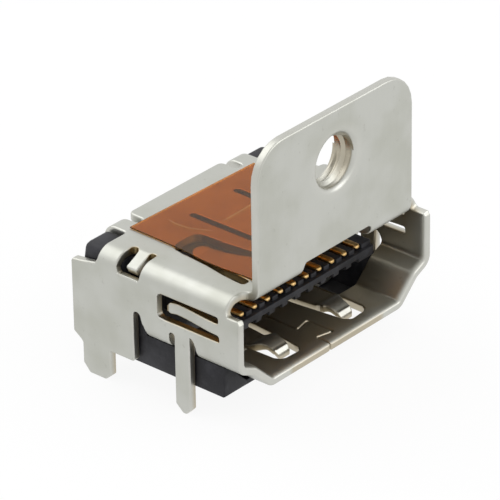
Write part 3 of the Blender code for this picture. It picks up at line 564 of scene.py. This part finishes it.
def half_outline(right):
    """One half of the blank's outline, from the middle of the flange's top to the apron's end."""
    edge = u_wall(SOLE + LIP_TOP)
    seam = u_sole(SEAM_X) if right else u_sole(-SEAM_X) - SEAM_GAP
    if right:
        socket = u_sole(-SEAM_X)
        dovetail = [(seam, 0.92), (socket, 0.64), (socket, 2.42), (seam, 2.18)]
    else:
        tail = u_sole(SEAM_X) - SEAM_GAP
        dovetail = [(seam, 0.95), (tail, 0.68), (tail, 2.38), (seam, 2.15)]
    slot_r = (WING_FRONT - SOLE_REAR - 0.36) / 2
    low, tip = u_wall(WING_BOTTOM), u_wall(LEG_TIP)
    gap = (TAB_IN - APRON_HALF) / 2
    return line(
        (0.0, FLANGE_V),
        arc(FLANGE_HALF - FLANGE_CORNER, FLANGE_V + FLANGE_CORNER, FLANGE_CORNER, -90, 0),
        arc(FLANGE_HALF + RELIEF_R, RELIEF_REAR - RELIEF_R, RELIEF_R, 180, 90),
        arc(edge - 0.2, RELIEF_REAR - 0.2, 0.2, 90, 0), arc(edge + 0.16, 0.16, 0.16, 180, 270),
        (seam, 0.0), dovetail, (seam, SOLE_REAR), (U_FOLD + 0.35, SOLE_REAR),
        (U_FOLD + 0.12, SOLE_REAR + 0.07), (U_FOLD - 0.08, SOLE_REAR + 0.26),
        arc(u_wall(3.2) + slot_r, WING_FRONT - slot_r, slot_r, 270, 90),
        (low - 0.1, WING_FRONT), (low, WING_FRONT + 0.1), (low, REAR_LEG_FRONT - 0.08),
        (low + 0.08, REAR_LEG_FRONT), (tip - 0.34, REAR_LEG_FRONT), (tip, REAR_LEG_FRONT + 0.38),
        (tip, REAR_LEG_REAR - 0.44), (tip - 0.48, REAR_LEG_REAR), (low + 0.12, REAR_LEG_REAR),
        (low - 0.02, REAR_LEG_REAR + 0.12), (low - 0.36, WING_REAR),
        arc(u_wall(4.82) + 0.16, WING_REAR - 0.16, 0.16, 90, 170),
        arc(u_wall(5.0) - 0.1, TOP_REAR + 0.1, 0.1, 0, -90),
        arc(TAB_OUT + 0.2, TOP_REAR + 0.2, 0.2, 270, 180),
        (TAB_OUT, TAB_V - 0.15), (TAB_OUT - 0.15, TAB_V), (TAB_IN + 0.15, TAB_V),
        (TAB_IN, TAB_V - 0.15), arc(TAB_IN - gap, NOTCH_FRONT + gap, gap, 360, 180),
        arc(APRON_HALF - APRON_CORNER, APRON_REAR - APRON_CORNER, APRON_CORNER, 0, 90))


def side_slots():
    """The right-hand holes of the blank: side spring, top spring, latch, front leg, floor spring
    and the straight slot under the film."""
    root, tip, low, high = SIDE_SPRING
    bottom, top, rear = u_wall(3.45), u_wall(4.83), 5.4
    a, b = u_wall(low), u_wall(high)
    side = line((top, root), (top, rear - 0.3), (top + 0.08, rear - 0.1), (top + 0.24, rear),
                (bottom - 0.2, rear), (bottom - 0.06, rear - 0.06), (bottom, rear - 0.22),
                (bottom, root - 0.03), (bottom - 0.1, root - 0.06), (a, root - 0.03),
                (a - 0.02, tip - 0.14), (a - 0.12, tip), (b + 0.12, tip), (b + 0.02, tip - 0.14),
                (b, root))
    upper = line((5.38, 1.38), (5.48, 1.44), (5.52, 1.58), (5.5, 1.86), (5.4, 2.87), (5.17, 4.1),
                 (5.07, 5.2), arc(4.36, 6.06, 0.62, 20, 90), arc(3.5, 6.12, 0.56, 90, 180),
                 (2.88, 4.7), (2.74, 3.4), (2.6, 2.3), (2.62, 1.95), (2.78, 1.84), (2.98, 1.9),
                 (3.04, 2.2), (3.1, 2.9), (3.3, 3.6), (3.38, 4.3), (3.34, 5.2),
                 arc(3.92, 5.32, 0.6, 170, 10), (4.54, 5.1), (4.68, 4.3), (4.84, 3.2),
                 (4.93, 2.2), (4.98, 1.7), (5.02, 1.48), (5.12, 1.38))
    end = U_WALL - 0.07
    front, back = LATCH_WINDOW
    latch = line((LATCH_ROOT + 0.1, front), (end - 0.08, front), (end, front + 0.08),
                 arc(end - 0.16, back - 0.16, 0.16, 0, 90),
                 arc(LATCH_ROOT + 0.2, back - 0.2, 0.2, 90, 240), (LATCH_ROOT + 0.16, LATCH_REAR),
                 (LATCH_TIP, LATCH_REAR), (LATCH_TIP, LATCH_FRONT),
                 (LATCH_ROOT + 0.12, LATCH_FRONT + 0.02), (LATCH_ROOT, LATCH_FRONT - 0.06),
                 (LATCH_ROOT, front + 0.08))
    front, back, high, tip = LEG_FRONT - 0.4, LEG_REAR + 0.36, u_wall(2.98), u_wall(LEG_TIP)
    leg = line((high, LEG_FRONT), (high, LEG_FRONT - 0.12), (high + 0.14, LEG_FRONT - 0.26),
               (high + 0.45, front), (tip + 0.03, front), (tip + 0.03, back), (u_wall(2.7), back),
               (u_wall(2.84), back - 0.08), (u_wall(2.86), LEG_REAR + 0.1),
               (u_wall(2.78), LEG_REAR), (tip - 0.42, LEG_REAR), (tip, 3.82), (tip, 3.62),
               (tip - 0.34, LEG_FRONT))
    sole = line((3.55, SOLE_ROOT), (3.5, 4.95), (3.46, 4.7), (3.46, 2.8), (3.43, 1.9),
                (3.42, 1.25), (3.28, 0.98), (3.05, 0.84), (2.08, 0.78), (1.8, 1.1), (1.6, 2.8),
                (1.46, 4.1), (1.46, SOLE_ROOT), (1.8, SOLE_ROOT), (1.86, 4.1), (1.98, 3.1),
                (1.94, 2.9), (SOLE_IN_X, 2.68), (SOLE_IN_X, 2.46), (1.88, 2.3), (1.92, 1.76),
                (2.02, SOLE_TIP), (2.86, SOLE_TIP), (2.98, 1.6), (3.02, 2.08),
                (SOLE_OUT_X, 2.35), (3.24, 2.55), (3.34, 2.78), (3.37, 3.05), (3.38, 4.7),
                (3.42, SOLE_ROOT))
    sole[:, 0] = u_sole(sole[:, 0])
    straight = line(arc(1.7, 2.6, 0.2, 180, 360), arc(1.7, 8.0, 0.2, 0, 180))
    return [side, upper, latch, leg, sole, straight]


def fold_window():
    """The opening in the flange's fold, over the contacts."""
    front, r = BEND_OUT - FOLD_LENGTH - 0.02, 0.25
    left, right = -WINDOW_HALF, WINDOW_HALF + 0.35
    return line((right - 0.3, front), (right - 0.09, front + 0.09), (right, front + 0.3),
                arc(right - r, WINDOW_REAR - r, r, 0, 90),
                arc(left + r, WINDOW_REAR - r, r, 90, 180), (left, front + 0.12),
                (left + 0.12, front))


SHORTEST_EDGE, LONGEST_EDGE, OUTLINE_ROUND = 0.012, 0.35, 0.13


def rounded(loop):
    """Closed outline with each corner rounded and its long edges divided.

    A corner becomes a quadratic curve from OUTLINE_ROUND times the tangent of half the turn
    before it to the same distance behind it, and never past 45 percent of an edge.
    """
    before, after = np.roll(loop, 1, axis=0), np.roll(loop, -1, axis=0)
    into, out = loop - before, after - loop
    len_in = np.linalg.norm(into, axis=1, keepdims=True)
    len_out = np.linalg.norm(out, axis=1, keepdims=True)
    into, out = into / len_in, out / len_out
    turn = np.arccos(np.clip(np.sum(into * out, axis=1, keepdims=True), -1, 1))
    back = OUTLINE_ROUND * np.tan(np.minimum(turn, 2.6) / 2)
    back = np.minimum(back, 0.45 * np.minimum(len_in, len_out))
    start, end = loop - into * back, loop + out * back
    t = np.linspace(0.0, 1.0, 5)[None, :, None]
    curve = (1 - t) ** 2 * start[:, None] + 2 * t * (1 - t) * loop[:, None] + t ** 2 * end[:, None]
    points = curve.reshape(-1, 2)
    points = points[np.linalg.norm(points - np.roll(points, 1, axis=0), axis=1) > SHORTEST_EDGE]
    step = np.roll(points, -1, axis=0) - points
    parts = np.maximum(np.ceil(np.linalg.norm(step, axis=1) / LONGEST_EDGE).astype(int), 1)
    owner = np.repeat(np.arange(len(points)), parts)
    share = np.arange(len(owner)) - np.repeat(np.cumsum(parts) - parts, parts)
    return points[owner] + step[owner] * (share / parts[owner])[:, None]


def inset(loop, distance):
    """Outline moved to its left by a distance, along the mitre of its two edges."""
    edge = unit(np.roll(loop, -1, axis=0) - loop)
    left = np.stack([-edge[:, 1], edge[:, 0]], axis=-1)
    last = np.roll(left, 1, axis=0)
    mitre = (left + last) / np.maximum(1 + np.sum(left * last, axis=1, keepdims=True), 0.6)
    return loop + mitre * distance


def blocks(count, size=600):
    """Slices that take a long array a block at a time, which saves memory."""
    return [slice(first, min(first + size, count)) for first in range(0, count, size)]


def edge_distance(points, starts, ends):
    """Distance of each point from the nearest of the segments, by projection onto each."""
    along = ends - starts
    square = np.maximum(np.sum(along * along, axis=1), 1e-12)
    nearest = np.empty(len(points))
    for part in blocks(len(points)):
        away = points[part, None] - starts[None]
        k = np.clip(np.sum(away * along, axis=-1) / square, 0.0, 1.0)
        away -= k[..., None] * along
        nearest[part] = np.sqrt(np.min(np.sum(away * away, axis=-1), axis=1))
    return nearest


def inside(points, starts, ends):
    """Whether points lie on the sheet: an odd number of outline edges to their right."""
    found = np.empty(len(points), dtype=bool)
    rise = ends[:, 1] - starts[:, 1]
    rise = np.where(rise == 0, 1e-12, rise)
    for part in blocks(len(points)):
        u, v = points[part, :1], points[part, 1:]
        spans = (starts[:, 1] > v) != (ends[:, 1] > v)
        cross = starts[:, 0] + (ends[:, 0] - starts[:, 0]) * (v - starts[:, 1]) / rise
        found[part] = np.sum(spans & (cross > u), axis=1) % 2 == 1
    return found


def crease_lines():
    """Straight lines across the blank where it bends, as pairs of end points."""
    lines = []

    def across(values, u0, u1, sides=(1, -1)):
        lines.extend(((side * u0, v), (side * u1, v)) for v in values for side in sides)

    def down(values, v0, v1):
        lines.extend(((side * u, v0), (side * u, v1)) for u in values for side in (1, -1))

    down(RUN[1:-1], -0.3, WING_REAR + 0.2)
    quarter = np.linspace(0.0, 1.0, 13) * FOLD_LENGTH
    across(BEND_OUT - quarter, -6.4, 6.4, sides=(1,))
    across(REAR_FOLD + quarter, TAB_IN - 0.05, TAB_OUT + 0.05)
    root, tip, low, high = SIDE_SPRING
    across(np.linspace(root, tip, 15), u_wall(high) - 0.05, u_wall(low) + 0.05)
    across(np.linspace(TOP_ROOT, TOP_TIP, 13), 2.95, 5.06)
    across(SOLE_TIP + 2.5 * np.linspace(0.0, 1.0, 25) ** 1.5, u_sole(SOLE_OUT_X), u_sole(SOLE_IN_X))
    across(LEAD_IN * (1 - np.cos(np.linspace(0.5, math.pi / 2, 6))), U_WALL - 0.3, u_sole(-0.6))
    bend = LATCH_BEND * (LATCH_TIP - LATCH_ROOT) / LATCH_RUN
    down(LATCH_ROOT + np.linspace(0.0, bend, 5), LATCH_FRONT - 0.1, LATCH_REAR + 0.1)
    return lines


RING, RING_R = 96, COLLAR_R + COLLAR_FILLET + 0.1    # points and radius of the collar's edge
LIP_STEPS = 9


def ring_points():
    """Circle on the blank where the collar is joined to both skins."""
    a = 2 * np.pi * np.arange(RING) / RING
    return np.stack([RING_R * np.cos(a), HOLE_V + RING_R * np.sin(a)], axis=-1)[::-1]


def blank():
    """Triangles of the flat sheet, with the distance of each vertex from the nearest cut edge.

    Outline, holes and three insets of each are filled at once, cut along the crease lines.
    """
    left = half_outline(False) * (-1, 1)
    loops = [line(half_outline(True), left[:0:-1])]
    for slot in side_slots():
        loops += [slot, slot * (-1, 1)]
    loops.append(fold_window())
    area = [np.sum(p[:, 0] * np.roll(p[:, 1], -1) - np.roll(p[:, 0], -1) * p[:, 1]) for p in loops]
    loops = [p[::-1] if (a < 0) == (i == 0) else p for i, (p, a) in enumerate(zip(loops, area))]
    loops = [rounded(p) for p in loops]
    ring = ring_points()
    rings = loops + [ring]
    starts = np.vstack(rings)
    ends = np.vstack([np.roll(p, -1, axis=0) for p in rings])
    levels = [ROLL * (1 - math.sin(math.radians(a))) for a in (30, 60)] + [ROLL]
    rows = rings + [inset(p, d) for p in loops for d in levels]
    corners = [Vector(p) for p in np.vstack(rows)]
    first = np.cumsum([0] + [len(p) for p in rows])
    edges = []
    for begin, row in zip(first, rows):
        index = np.arange(len(row))
        edges += np.stack([begin + index, begin + np.roll(index, -1)], axis=-1).tolist()
    for a, b in crease_lines():
        edges.append((len(corners), len(corners) + 1))
        corners += [Vector(a), Vector(b)]
    points, _, faces, *_ = delaunay_2d_cdt(corners, edges, [], 0, 1e-5)
    points, faces = np.array([tuple(p) for p in points]), np.array(faces)
    faces = faces[inside(points[faces].mean(axis=1), starts, ends)]
    used, faces = np.unique(faces, return_inverse=True)
    points, faces = points[used], faces.reshape(-1, 3)
    edge = edge_distance(points, starts[:-len(ring)], ends[:-len(ring)])
    return points, faces, edge, ring


def collar_profile():
    """Section of the drawn collar as (radius, depth behind the flange's front face).

    It leaves the front skin, rolls over the lip as a quarter circle into the bore, turns round
    the rear end and comes back up the outside and its fillet to the rear skin.
    """
    a = np.radians(np.linspace(0, 90, LIP_STEPS))
    lip = np.stack([BORE_R + LIP_R * (1 - np.sin(a)), LIP_R * (1 - np.cos(a))], axis=-1)
    r = 0.08
    end = np.stack([BORE_R + r - r * np.cos(a), COLLAR_END - r + r * np.sin(a)], axis=-1)
    rim = np.stack([COLLAR_R - r + r * np.sin(a), COLLAR_END - r + r * np.cos(a)], axis=-1)
    f = COLLAR_FILLET
    fillet = np.stack([COLLAR_R + f * (1 - np.cos(a)), T + f * (1 - np.sin(a))], axis=-1)
    return np.vstack([[(RING_R, 0.0)], lip, end, rim, fillet, [(RING_R, T)]])


def skin_normals(u, v, w):
    """Unit normals of the skin at depth w: the cross product of its two numeric slopes."""
    h = 1e-3
    across = fold(u + h, v, w) - fold(u - h, v, w)
    rear = fold(u, v + h, w) - fold(u, v - h, w)
    return unit(np.cross(across, rear))


def area_normals(corners, groups):
    """Vertex normals weighted by the areas of the faces round each vertex.

    Each group holds triangles or quads; the cross product of the diagonals is added to all
    corners of a face, with a triangle's first corner counted again as its fourth.
    """
    normals = np.zeros_like(corners)
    for index in groups:
        a, b, c, d = (corners[index[:, k % index.shape[1]]] for k in range(4))
        cross = np.cross(c - a, d - b)
        for column in index.T:
            np.add.at(normals, column, cross)
    return unit(normals)


def bore_shade(side):
    """Painted shade round the bore from the cosine of the angle: darkest on the right."""
    return 0.05 + 0.3 * smooth(side)


def under_film(u, v):
    """Whether a place on the blank lies in the slotted part of the top panel."""
    return (np.abs(u) < U_TOP - 0.2) & (v > 1.35) & (v < 8.6)


def mouth_lead(u, v):
    """How far the inner skin comes in behind the mouth's front edge, and how near the edge is.

    It comes in along a quarter ellipse, on the side walls and the floor only.
    """
    into = np.clip(1.0 - v / LEAD_IN, 0.0, 1.0)
    lead = LEAD_DEPTH * (1.0 - np.sqrt(np.maximum(1.0 - into ** 2, 0.0)))
    return lead * smooth((np.abs(u) - U_WALL + 0.15) / 0.25), into


def skin_masks(u, v, edge):
    """Rim values of the inner and outer skin, and their painted shade values.

    Rims are the rolled edges, lightened as burnished wear and painted highlight, and, inside, the
    mouth's lead-in and the heads of the floor springs, where the highlight is painted.
    Painted shade falls on the socket's depth and on the cut edges of its slots, where it fades
    exponentially.
    """
    s = np.abs(u)
    near = np.clip(ROLL - edge, 0.0, ROLL) / ROLL
    lead, into = mouth_lead(u, v)
    spring = on_sole_spring(s, v)
    # Painted highlight on the heads of the floor springs.
    spring_highlight = np.where(spring, smooth((2.7 - v) / 0.3), 0.0)
    inner_rim = np.maximum(np.maximum(near, spring_highlight), np.where(lead > 0, into, 0.0))
    # Painted shade: darker deep in the socket, less so on the floor springs' heads.
    deep = 0.4 * smooth((v - 0.1) / 0.9) * smooth((10.0 - v) / 0.5)
    deep *= np.where(spring, smooth((v - SOLE_CREST) / 0.6), 1.0)
    # Painted shade on cut walls, strongest under the film and in the left window.
    left_window = (-u > u_wall(4.9)) & (-u < u_wall(3.4)) & (v > 1.2) & (v < 5.15)
    legs = np.where(s > u_sole(3.56), 0.4, 0.0)
    cut = np.where(under_film(u, v) | left_window, 0.75, legs) * np.exp(-edge / 0.03)
    return [inner_rim, near], [np.maximum(deep, cut), cut]


def sheet_mesh(name):
    """The folded sheet.

    Both skins are the blank mapped by the folds. Near a cut edge at distance d each skin comes in
    by ROLL minus the root of ROLL squared less (ROLL - d) squared, a quarter circle, and inside
    the mouth's front edge the inner skin comes in along a longer ellipse. The slots under the
    film keep crisper edges. A wall joins the skins along every cut edge, and the collar is a
    profile turned round the hole's axis.
    """
    points, faces, edge, ring = blank()
    u, v = points.T
    count = len(points)
    rolled = ROLL - np.sqrt(np.maximum(ROLL ** 2 - np.clip(ROLL - edge, 0.0, ROLL) ** 2, 0.0))
    lead, _ = mouth_lead(u, v)
    inner = fold(u, v, np.maximum(rolled, lead))
    outer = fold(u, v, T - rolled * np.where(under_film(u, v), 0.3, 1.0))
    sides = np.vstack([faces[:, [0, 1]], faces[:, [1, 2]], faces[:, [2, 0]]])
    key = np.sort(sides, axis=1) @ (count, 1)
    _, first, times = np.unique(key, return_index=True, return_counts=True)
    border = sides[first[times == 1]]
    near_ring = np.abs(np.hypot(u, v - HOLE_V) - np.hypot(*(ring[0] - (0, HOLE_V)))) < 1e-4
    a, b = border[~near_ring[border].all(axis=1)].T
    walls = np.stack([a, b, b + count, a + count], axis=-1)
    angle = np.arctan2(ring[:, 1] - HOLE_V, ring[:, 0])
    radius, depth = collar_profile()[1:-1].T
    turned = np.stack([radius[:, None] * np.cos(angle), MOUTH_Y + depth[:, None] + 0 * angle,
                       HOLE_Z - radius[:, None] * np.sin(angle)], axis=-1).reshape(-1, 3)
    found = np.argmin(np.sum((points[None] - ring[:, None]) ** 2, axis=-1), axis=1)
    rows = np.vstack([found, 2 * count + np.arange(len(turned)).reshape(-1, RING), found + count])
    after = np.roll(rows, -1, axis=1)
    quads = np.stack([rows[:-1], after[:-1], after[1:], rows[1:]], axis=-1).reshape(-1, 4)
    corners = np.vstack([inner, outer, turned])
    parts = [faces[:, ::-1], faces + count, walls, quads]
    mesh = bpy.data.meshes.new(name)
    mesh.from_pydata((corners * MM).tolist(), [], [face for p in parts for face in p.tolist()])
    flat = edge >= ROLL - 1e-6
    normals = area_normals(corners, parts)
    keep = np.where(flat & (lead <= 0))[0]
    normals[keep] = -skin_normals(u, v, 0.0)[keep]
    keep = np.where(flat)[0]
    normals[keep + count] = skin_normals(u, v, T)[keep]
    # Rims carry burnished wear and painted highlight, the collar's lip included; painted shade also
    # darkens the right side of the bore.
    rims, painted_shades = skin_masks(u, v, edge)
    lip_rim = np.repeat(np.arange(len(radius)) < LIP_STEPS, RING) * 0.5
    bore = np.outer(radius < BORE_R + 0.02, bore_shade(np.cos(angle))).ravel()
    set_mask(mesh, "rim", np.concatenate(rims + [lip_rim]))
    set_mask(mesh, "painted_shade", np.concatenate(painted_shades + [bore]))
    mesh.shade_smooth()
    mesh.normals_split_custom_set_from_vertices(normals)
    return mesh


place("shell_sheet", sheet_mesh("shell_sheet"), nickel, "shell")
place("insulator", softened("housing", "insulator", 0.035, 2, 42), resin, "housing")

TOE_IN, TOE_OUT, TOE_FRONT, TOE_REAR = 4.25, 5.4, 1.48, 6.0
TOE_TOP, TOE_ROUND, TOE_CORNER = 0.31, 0.1, 0.15


def toe_block(side):
    """Rounded block under the floor that carries a foot of the insulator inwards.

    Its plan is a rectangle whose corners are arcs. Going up, the plan first grows by a quarter
    circle, which rounds the bottom edge, and then stays as it is.
    """
    low, high = np.array([TOE_IN, TOE_FRONT]), np.array([TOE_OUT, TOE_REAR])
    middle, half = (low + high) / 2, (high - low) / 2
    corner, a = round_corners(6)
    rise = np.radians(np.linspace(0, 90, 6))
    step_in = np.append(TOE_ROUND * (1 - np.sin(rise)), 0.0)[:, None]
    z = np.append(TOE_ROUND * (1 - np.cos(rise)), TOE_TOP)[:, None]
    x, y = (middle[i] + corner[:, i] * (half[i] - TOE_CORNER) + (TOE_CORNER - step_in) * way(a)
            for i, way in enumerate((np.cos, np.sin)))
    return np.stack([side * x, y + MOUTH_Y, z + 0 * x], axis=-1)


for label, side in (("left", -1.0), ("right", 1.0)):
    place_swept("toe_" + label, toe_block(side), resin, sharp=40)


# Tapped collar


THREAD_TURNS, THREAD_START, THREAD_PITCH, THREAD_CREST, THREAD_FADE = 2, 0.34, 0.46, 1.24, 1.2
THREAD_FOOT = BORE_R + 0.03


def thread_ridge():
    """Helical ridge on the wall of the bore.

    Around the axis the angle runs over the turns while the ridge moves back by one pitch a turn.
    Across the ridge four points make its section: two feet just inside the metal and a narrow
    flat crest towards the axis. The ridge fades into the wall at both ends.
    """
    angle = np.linspace(0.0, 2 * np.pi * THREAD_TURNS, 48 * THREAD_TURNS + 1)
    fade = np.clip(np.minimum(angle, angle[-1] - angle) / THREAD_FADE, 0.0, 1.0)
    across = np.array([-0.46, -0.09, 0.09, 0.46]) * THREAD_PITCH
    top = np.array([0.0, 1.0, 1.0, 0.0])
    radius = THREAD_FOOT - top * (THREAD_FOOT - THREAD_CREST) * fade[:, None]
    y = MOUTH_Y + THREAD_START + THREAD_PITCH * angle[:, None] / (2 * np.pi) + across
    x = radius * np.cos(angle)[:, None]
    z = HOLE_Z + radius * np.sin(angle)[:, None]
    return np.stack([x, y, z], axis=-1)


ridge = thread_ridge()
place_swept("collar_thread", ridge, nickel,
            painted_shade=bore_shade(ridge[..., 0].ravel() / BORE_R), sharp=40)


# Contacts

TONGUE_MID, TONGUE_HALF_T = 2.99, 0.39
CONTACT_W, CONTACT_T, CONTACT_PROUD, CONTACT_ROUND = 0.44, 0.24, 0.1, 0.1
TAIL_W, TAIL_END = 0.24, 11.75
NOSE_DOME = 0.24                # length over which a contact's nose grows to its full size
CONTACT_SHADE, SHADE_FRONT = 0.7, 2.7


def contact_middle(top):
    """Middle line of a contact in y and z, and its width at each point.

    A quarter circle turns the nose into the tongue, a straight beam runs to the rear, a second
    quarter circle takes it down, it narrows to the tail, and a third one lays it on the board.
    """
    side, nose_y, drop = (1, 2.42, 10.32) if top else (-1, 2.62, 10.04)
    beam = TONGUE_MID + side * (TONGUE_HALF_T + CONTACT_PROUD - CONTACT_T / 2)
    a = np.radians(90 * np.linspace(0.06, 1.0, 14))
    turn, bend = 0.12, 0.28
    nose = np.stack([nose_y + turn * (1 - np.cos(a)), beam - side * turn * (1 - np.sin(a))],
                    axis=-1)
    path = line(nose, (nose_y + 0.5, beam), arc(drop - bend, beam - bend, bend, 90, 0),
                (drop, beam - bend - 0.3), (drop, beam - bend - 0.55),
                arc(drop + bend, CONTACT_T / 2 + bend, bend, 180, 270), (TAIL_END, CONTACT_T / 2))
    width = np.full(len(path), CONTACT_W)
    width[len(nose) + 9:] = TAIL_W
    return path, width


def contact_surface(x, top):
    """Strip with rounded edges swept along its middle line.

    The section is a rectangle whose corners are arcs. Its size grows over NOSE_DOME as the root
    of one minus the square of what is left, which domes the nose.
    """
    path, width = contact_middle(top)
    step = unit(np.gradient(path, axis=0))
    run = np.concatenate([[0.0], np.cumsum(np.linalg.norm(np.diff(path, axis=0), axis=1))])
    left = np.clip(1.0 - (run + 0.008) / NOSE_DOME, 0.0, 1.0)
    size = np.sqrt(1.0 - left ** 2)[:, None]
    corner, a = round_corners(5)
    across = corner[:, 0] * (width[:, None] / 2 - CONTACT_ROUND) + CONTACT_ROUND * np.cos(a)
    thick = corner[:, 1] * (CONTACT_T / 2 - CONTACT_ROUND) + CONTACT_ROUND * np.sin(a)
    thick = thick * size
    y = path[:, :1] - step[:, 1:] * thick + MOUTH_Y
    z = path[:, 1:] + step[:, :1] * thick
    return np.stack([x + across * size, y, z], axis=-1)


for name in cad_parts:
    if "contact" in name:
        top = name.startswith("upper")
        x = int(name[-2:]) - (5.5 if top else 5.0)
        points = contact_surface(x, top)
        shade = CONTACT_SHADE * smooth((points[..., 1].ravel() - MOUTH_Y - SHADE_FRONT) / 0.7)
        place_swept("gold_" + name, points, gold, name, painted_shade=shade)


# Film

FILM_BOTTOM, FILM_TOP = 5.9, 5.97
FILM_CORNERS = np.array([[-4.92, 1.0], [4.32, 1.0], [4.42, 9.28], [-4.76, 9.56]])


def film_surface(height, rows=90, cols=96):
    """One skin of the film, at a constant height.

    A straight blend between its four corners, whose left edge bulges by a bell curve.
    """
    s = np.linspace(0.0, 1.0, cols)[None, :, None]
    t = np.linspace(0.0, 1.0, rows)[:, None, None]
    front = FILM_CORNERS[0] * (1 - s) + FILM_CORNERS[1] * s
    rear = FILM_CORNERS[3] * (1 - s) + FILM_CORNERS[2] * s
    flat = front * (1 - t) + rear * t
    flat[..., :1] -= 0.19 * (1 - s) ** 4 * np.exp(-((flat[..., 1:] - 3.9) / 1.7) ** 2)
    z = np.full(flat.shape[:2] + (1,), height)
    points = np.concatenate([flat, z], axis=-1)
    points[..., 1] += MOUTH_Y
    return points


skins = [film_surface(FILM_TOP), film_surface(FILM_BOTTOM)[::-1]]
film = grid_mesh("amber_tape", np.concatenate(skins, axis=0), wrap_u=True)
outward(film, fill=True)
place("amber_tape", film, amber_film, "cover_tape")


# Floor, lights and camera


FLOOR_HALF = 600.0
SURROUND = 0.91                 # light of the surround and the floor's glow; the camera sees 1
AZIMUTH, ELEVATION, CAMERA_ROLL = (math.radians(v) for v in (48.764, 28.849, -0.942))
CAMERA_DISTANCE, CAMERA_ACROSS, CAMERA_UP = 212.052, -0.5743, 0.7431
FOCAL_PIXELS, PHOTO_PIXELS, SENSOR = 4187.2, 500.0, 36.0


def make_floor():
    """Pale floor: it shows as white to the camera and in reflections, and keeps the shadow."""
    h = FLOOR_HALF
    mesh = grid_mesh("floor", np.array([[(-h, -h, GROUND_Z), (h, -h, GROUND_Z)],
                                        [(-h, h, GROUND_Z), (h, h, GROUND_Z)]]))
    floor = add_object("floor", mesh)
    material, tree, _ = new_material("pale_floor")
    tree.nodes.clear()
    matt = add_node(tree, "ShaderNodeBsdfDiffuse", {"Color": (0.85, 0.85, 0.85, 1)})
    glow = add_node(tree, "ShaderNodeEmission", {"Color": (1, 1, 1, 1), "Strength": 1.0})
    path = add_node(tree, "ShaderNodeLightPath", {}).outputs
    seen = math_node(tree, "MAXIMUM", path["Is Camera Ray"], path["Is Glossy Ray"])
    seen = math_node(tree, "MAXIMUM", seen, path["Is Transmission Ray"])
    mix = add_node(tree, "ShaderNodeMixShader", {0: math_node(tree, "MULTIPLY", seen, SURROUND),
                                                 1: matt.outputs[0], 2: glow.outputs[0]})
    add_node(tree, "ShaderNodeOutputMaterial", {"Surface": mix.outputs[0]})
    mesh.materials.append(material)


def make_world():
    """Even pale surround that is white to the camera."""
    world = bpy.data.worlds.new("studio")
    bpy.context.scene.world = world
    world.use_nodes = True
    tree = world.node_tree
    tree.nodes.clear()
    path = add_node(tree, "ShaderNodeLightPath", {}).outputs
    strength = add_node(tree, "ShaderNodeMix", {0: path["Is Camera Ray"], 2: SURROUND, 3: 1.0},
                        data_type="FLOAT")
    back = add_node(tree, "ShaderNodeBackground",
                    {"Color": (1, 1, 1, 1), "Strength": strength.outputs[0]})
    add_node(tree, "ShaderNodeOutputWorld", {"Surface": back.outputs[0]})


def softbox(name, azimuth, elevation, distance, size, power):
    """Square lamp that looks at the part from a direction given in degrees, sizes in metres."""
    a, e = math.radians(azimuth), math.radians(elevation)
    direction = Vector((math.cos(a) * math.cos(e), math.sin(a) * math.cos(e), math.sin(e)))
    lamp = bpy.data.lights.new(name, "AREA")
    lamp.shape = "SQUARE"
    lamp.size = size
    lamp.energy = power
    holder = add_object(name, lamp)
    holder.location = Vector((0, -0.003, 0.004)) + direction * distance
    holder.rotation_euler = direction.to_track_quat("Z", "Y").to_euler()


def make_camera():
    """Long lens at the photograph's viewpoint, in the part's frame."""
    (sa, ca), (se, ce) = ((math.sin(v), math.cos(v)) for v in (AZIMUTH, ELEVATION))
    back = Vector((-sa * ce, -ca * ce, se))
    right, up = Vector((ca, -sa, 0.0)), Vector((sa * se, ca * se, ce))
    across = right * math.cos(CAMERA_ROLL) + up * math.sin(CAMERA_ROLL)
    upright = up * math.cos(CAMERA_ROLL) - right * math.sin(CAMERA_ROLL)
    eye = Vector((0.0, 5.0 + MOUTH_Y, 2.5 + SOLE)) + back * CAMERA_DISTANCE
    eye += across * CAMERA_ACROSS + upright * CAMERA_UP
    camera = bpy.data.cameras.new("camera")
    camera.sensor_width = SENSOR
    camera.lens = SENSOR * FOCAL_PIXELS / PHOTO_PIXELS
    camera.clip_start = 0.01
    holder = add_object("camera", camera)
    turn = Matrix((across, upright, back)).transposed().to_4x4()
    holder.matrix_world = Matrix.Translation(eye * MM) @ turn
    bpy.context.scene.camera = holder


make_floor()
make_world()
softbox("top_rear_box", 100, 50, 0.35, 0.35, 0.43)
softbox("front_right_box", -60, 30, 0.4, 0.3, 0.42)
make_camera()
bpy.context.scene.view_settings.view_transform = "Standard"
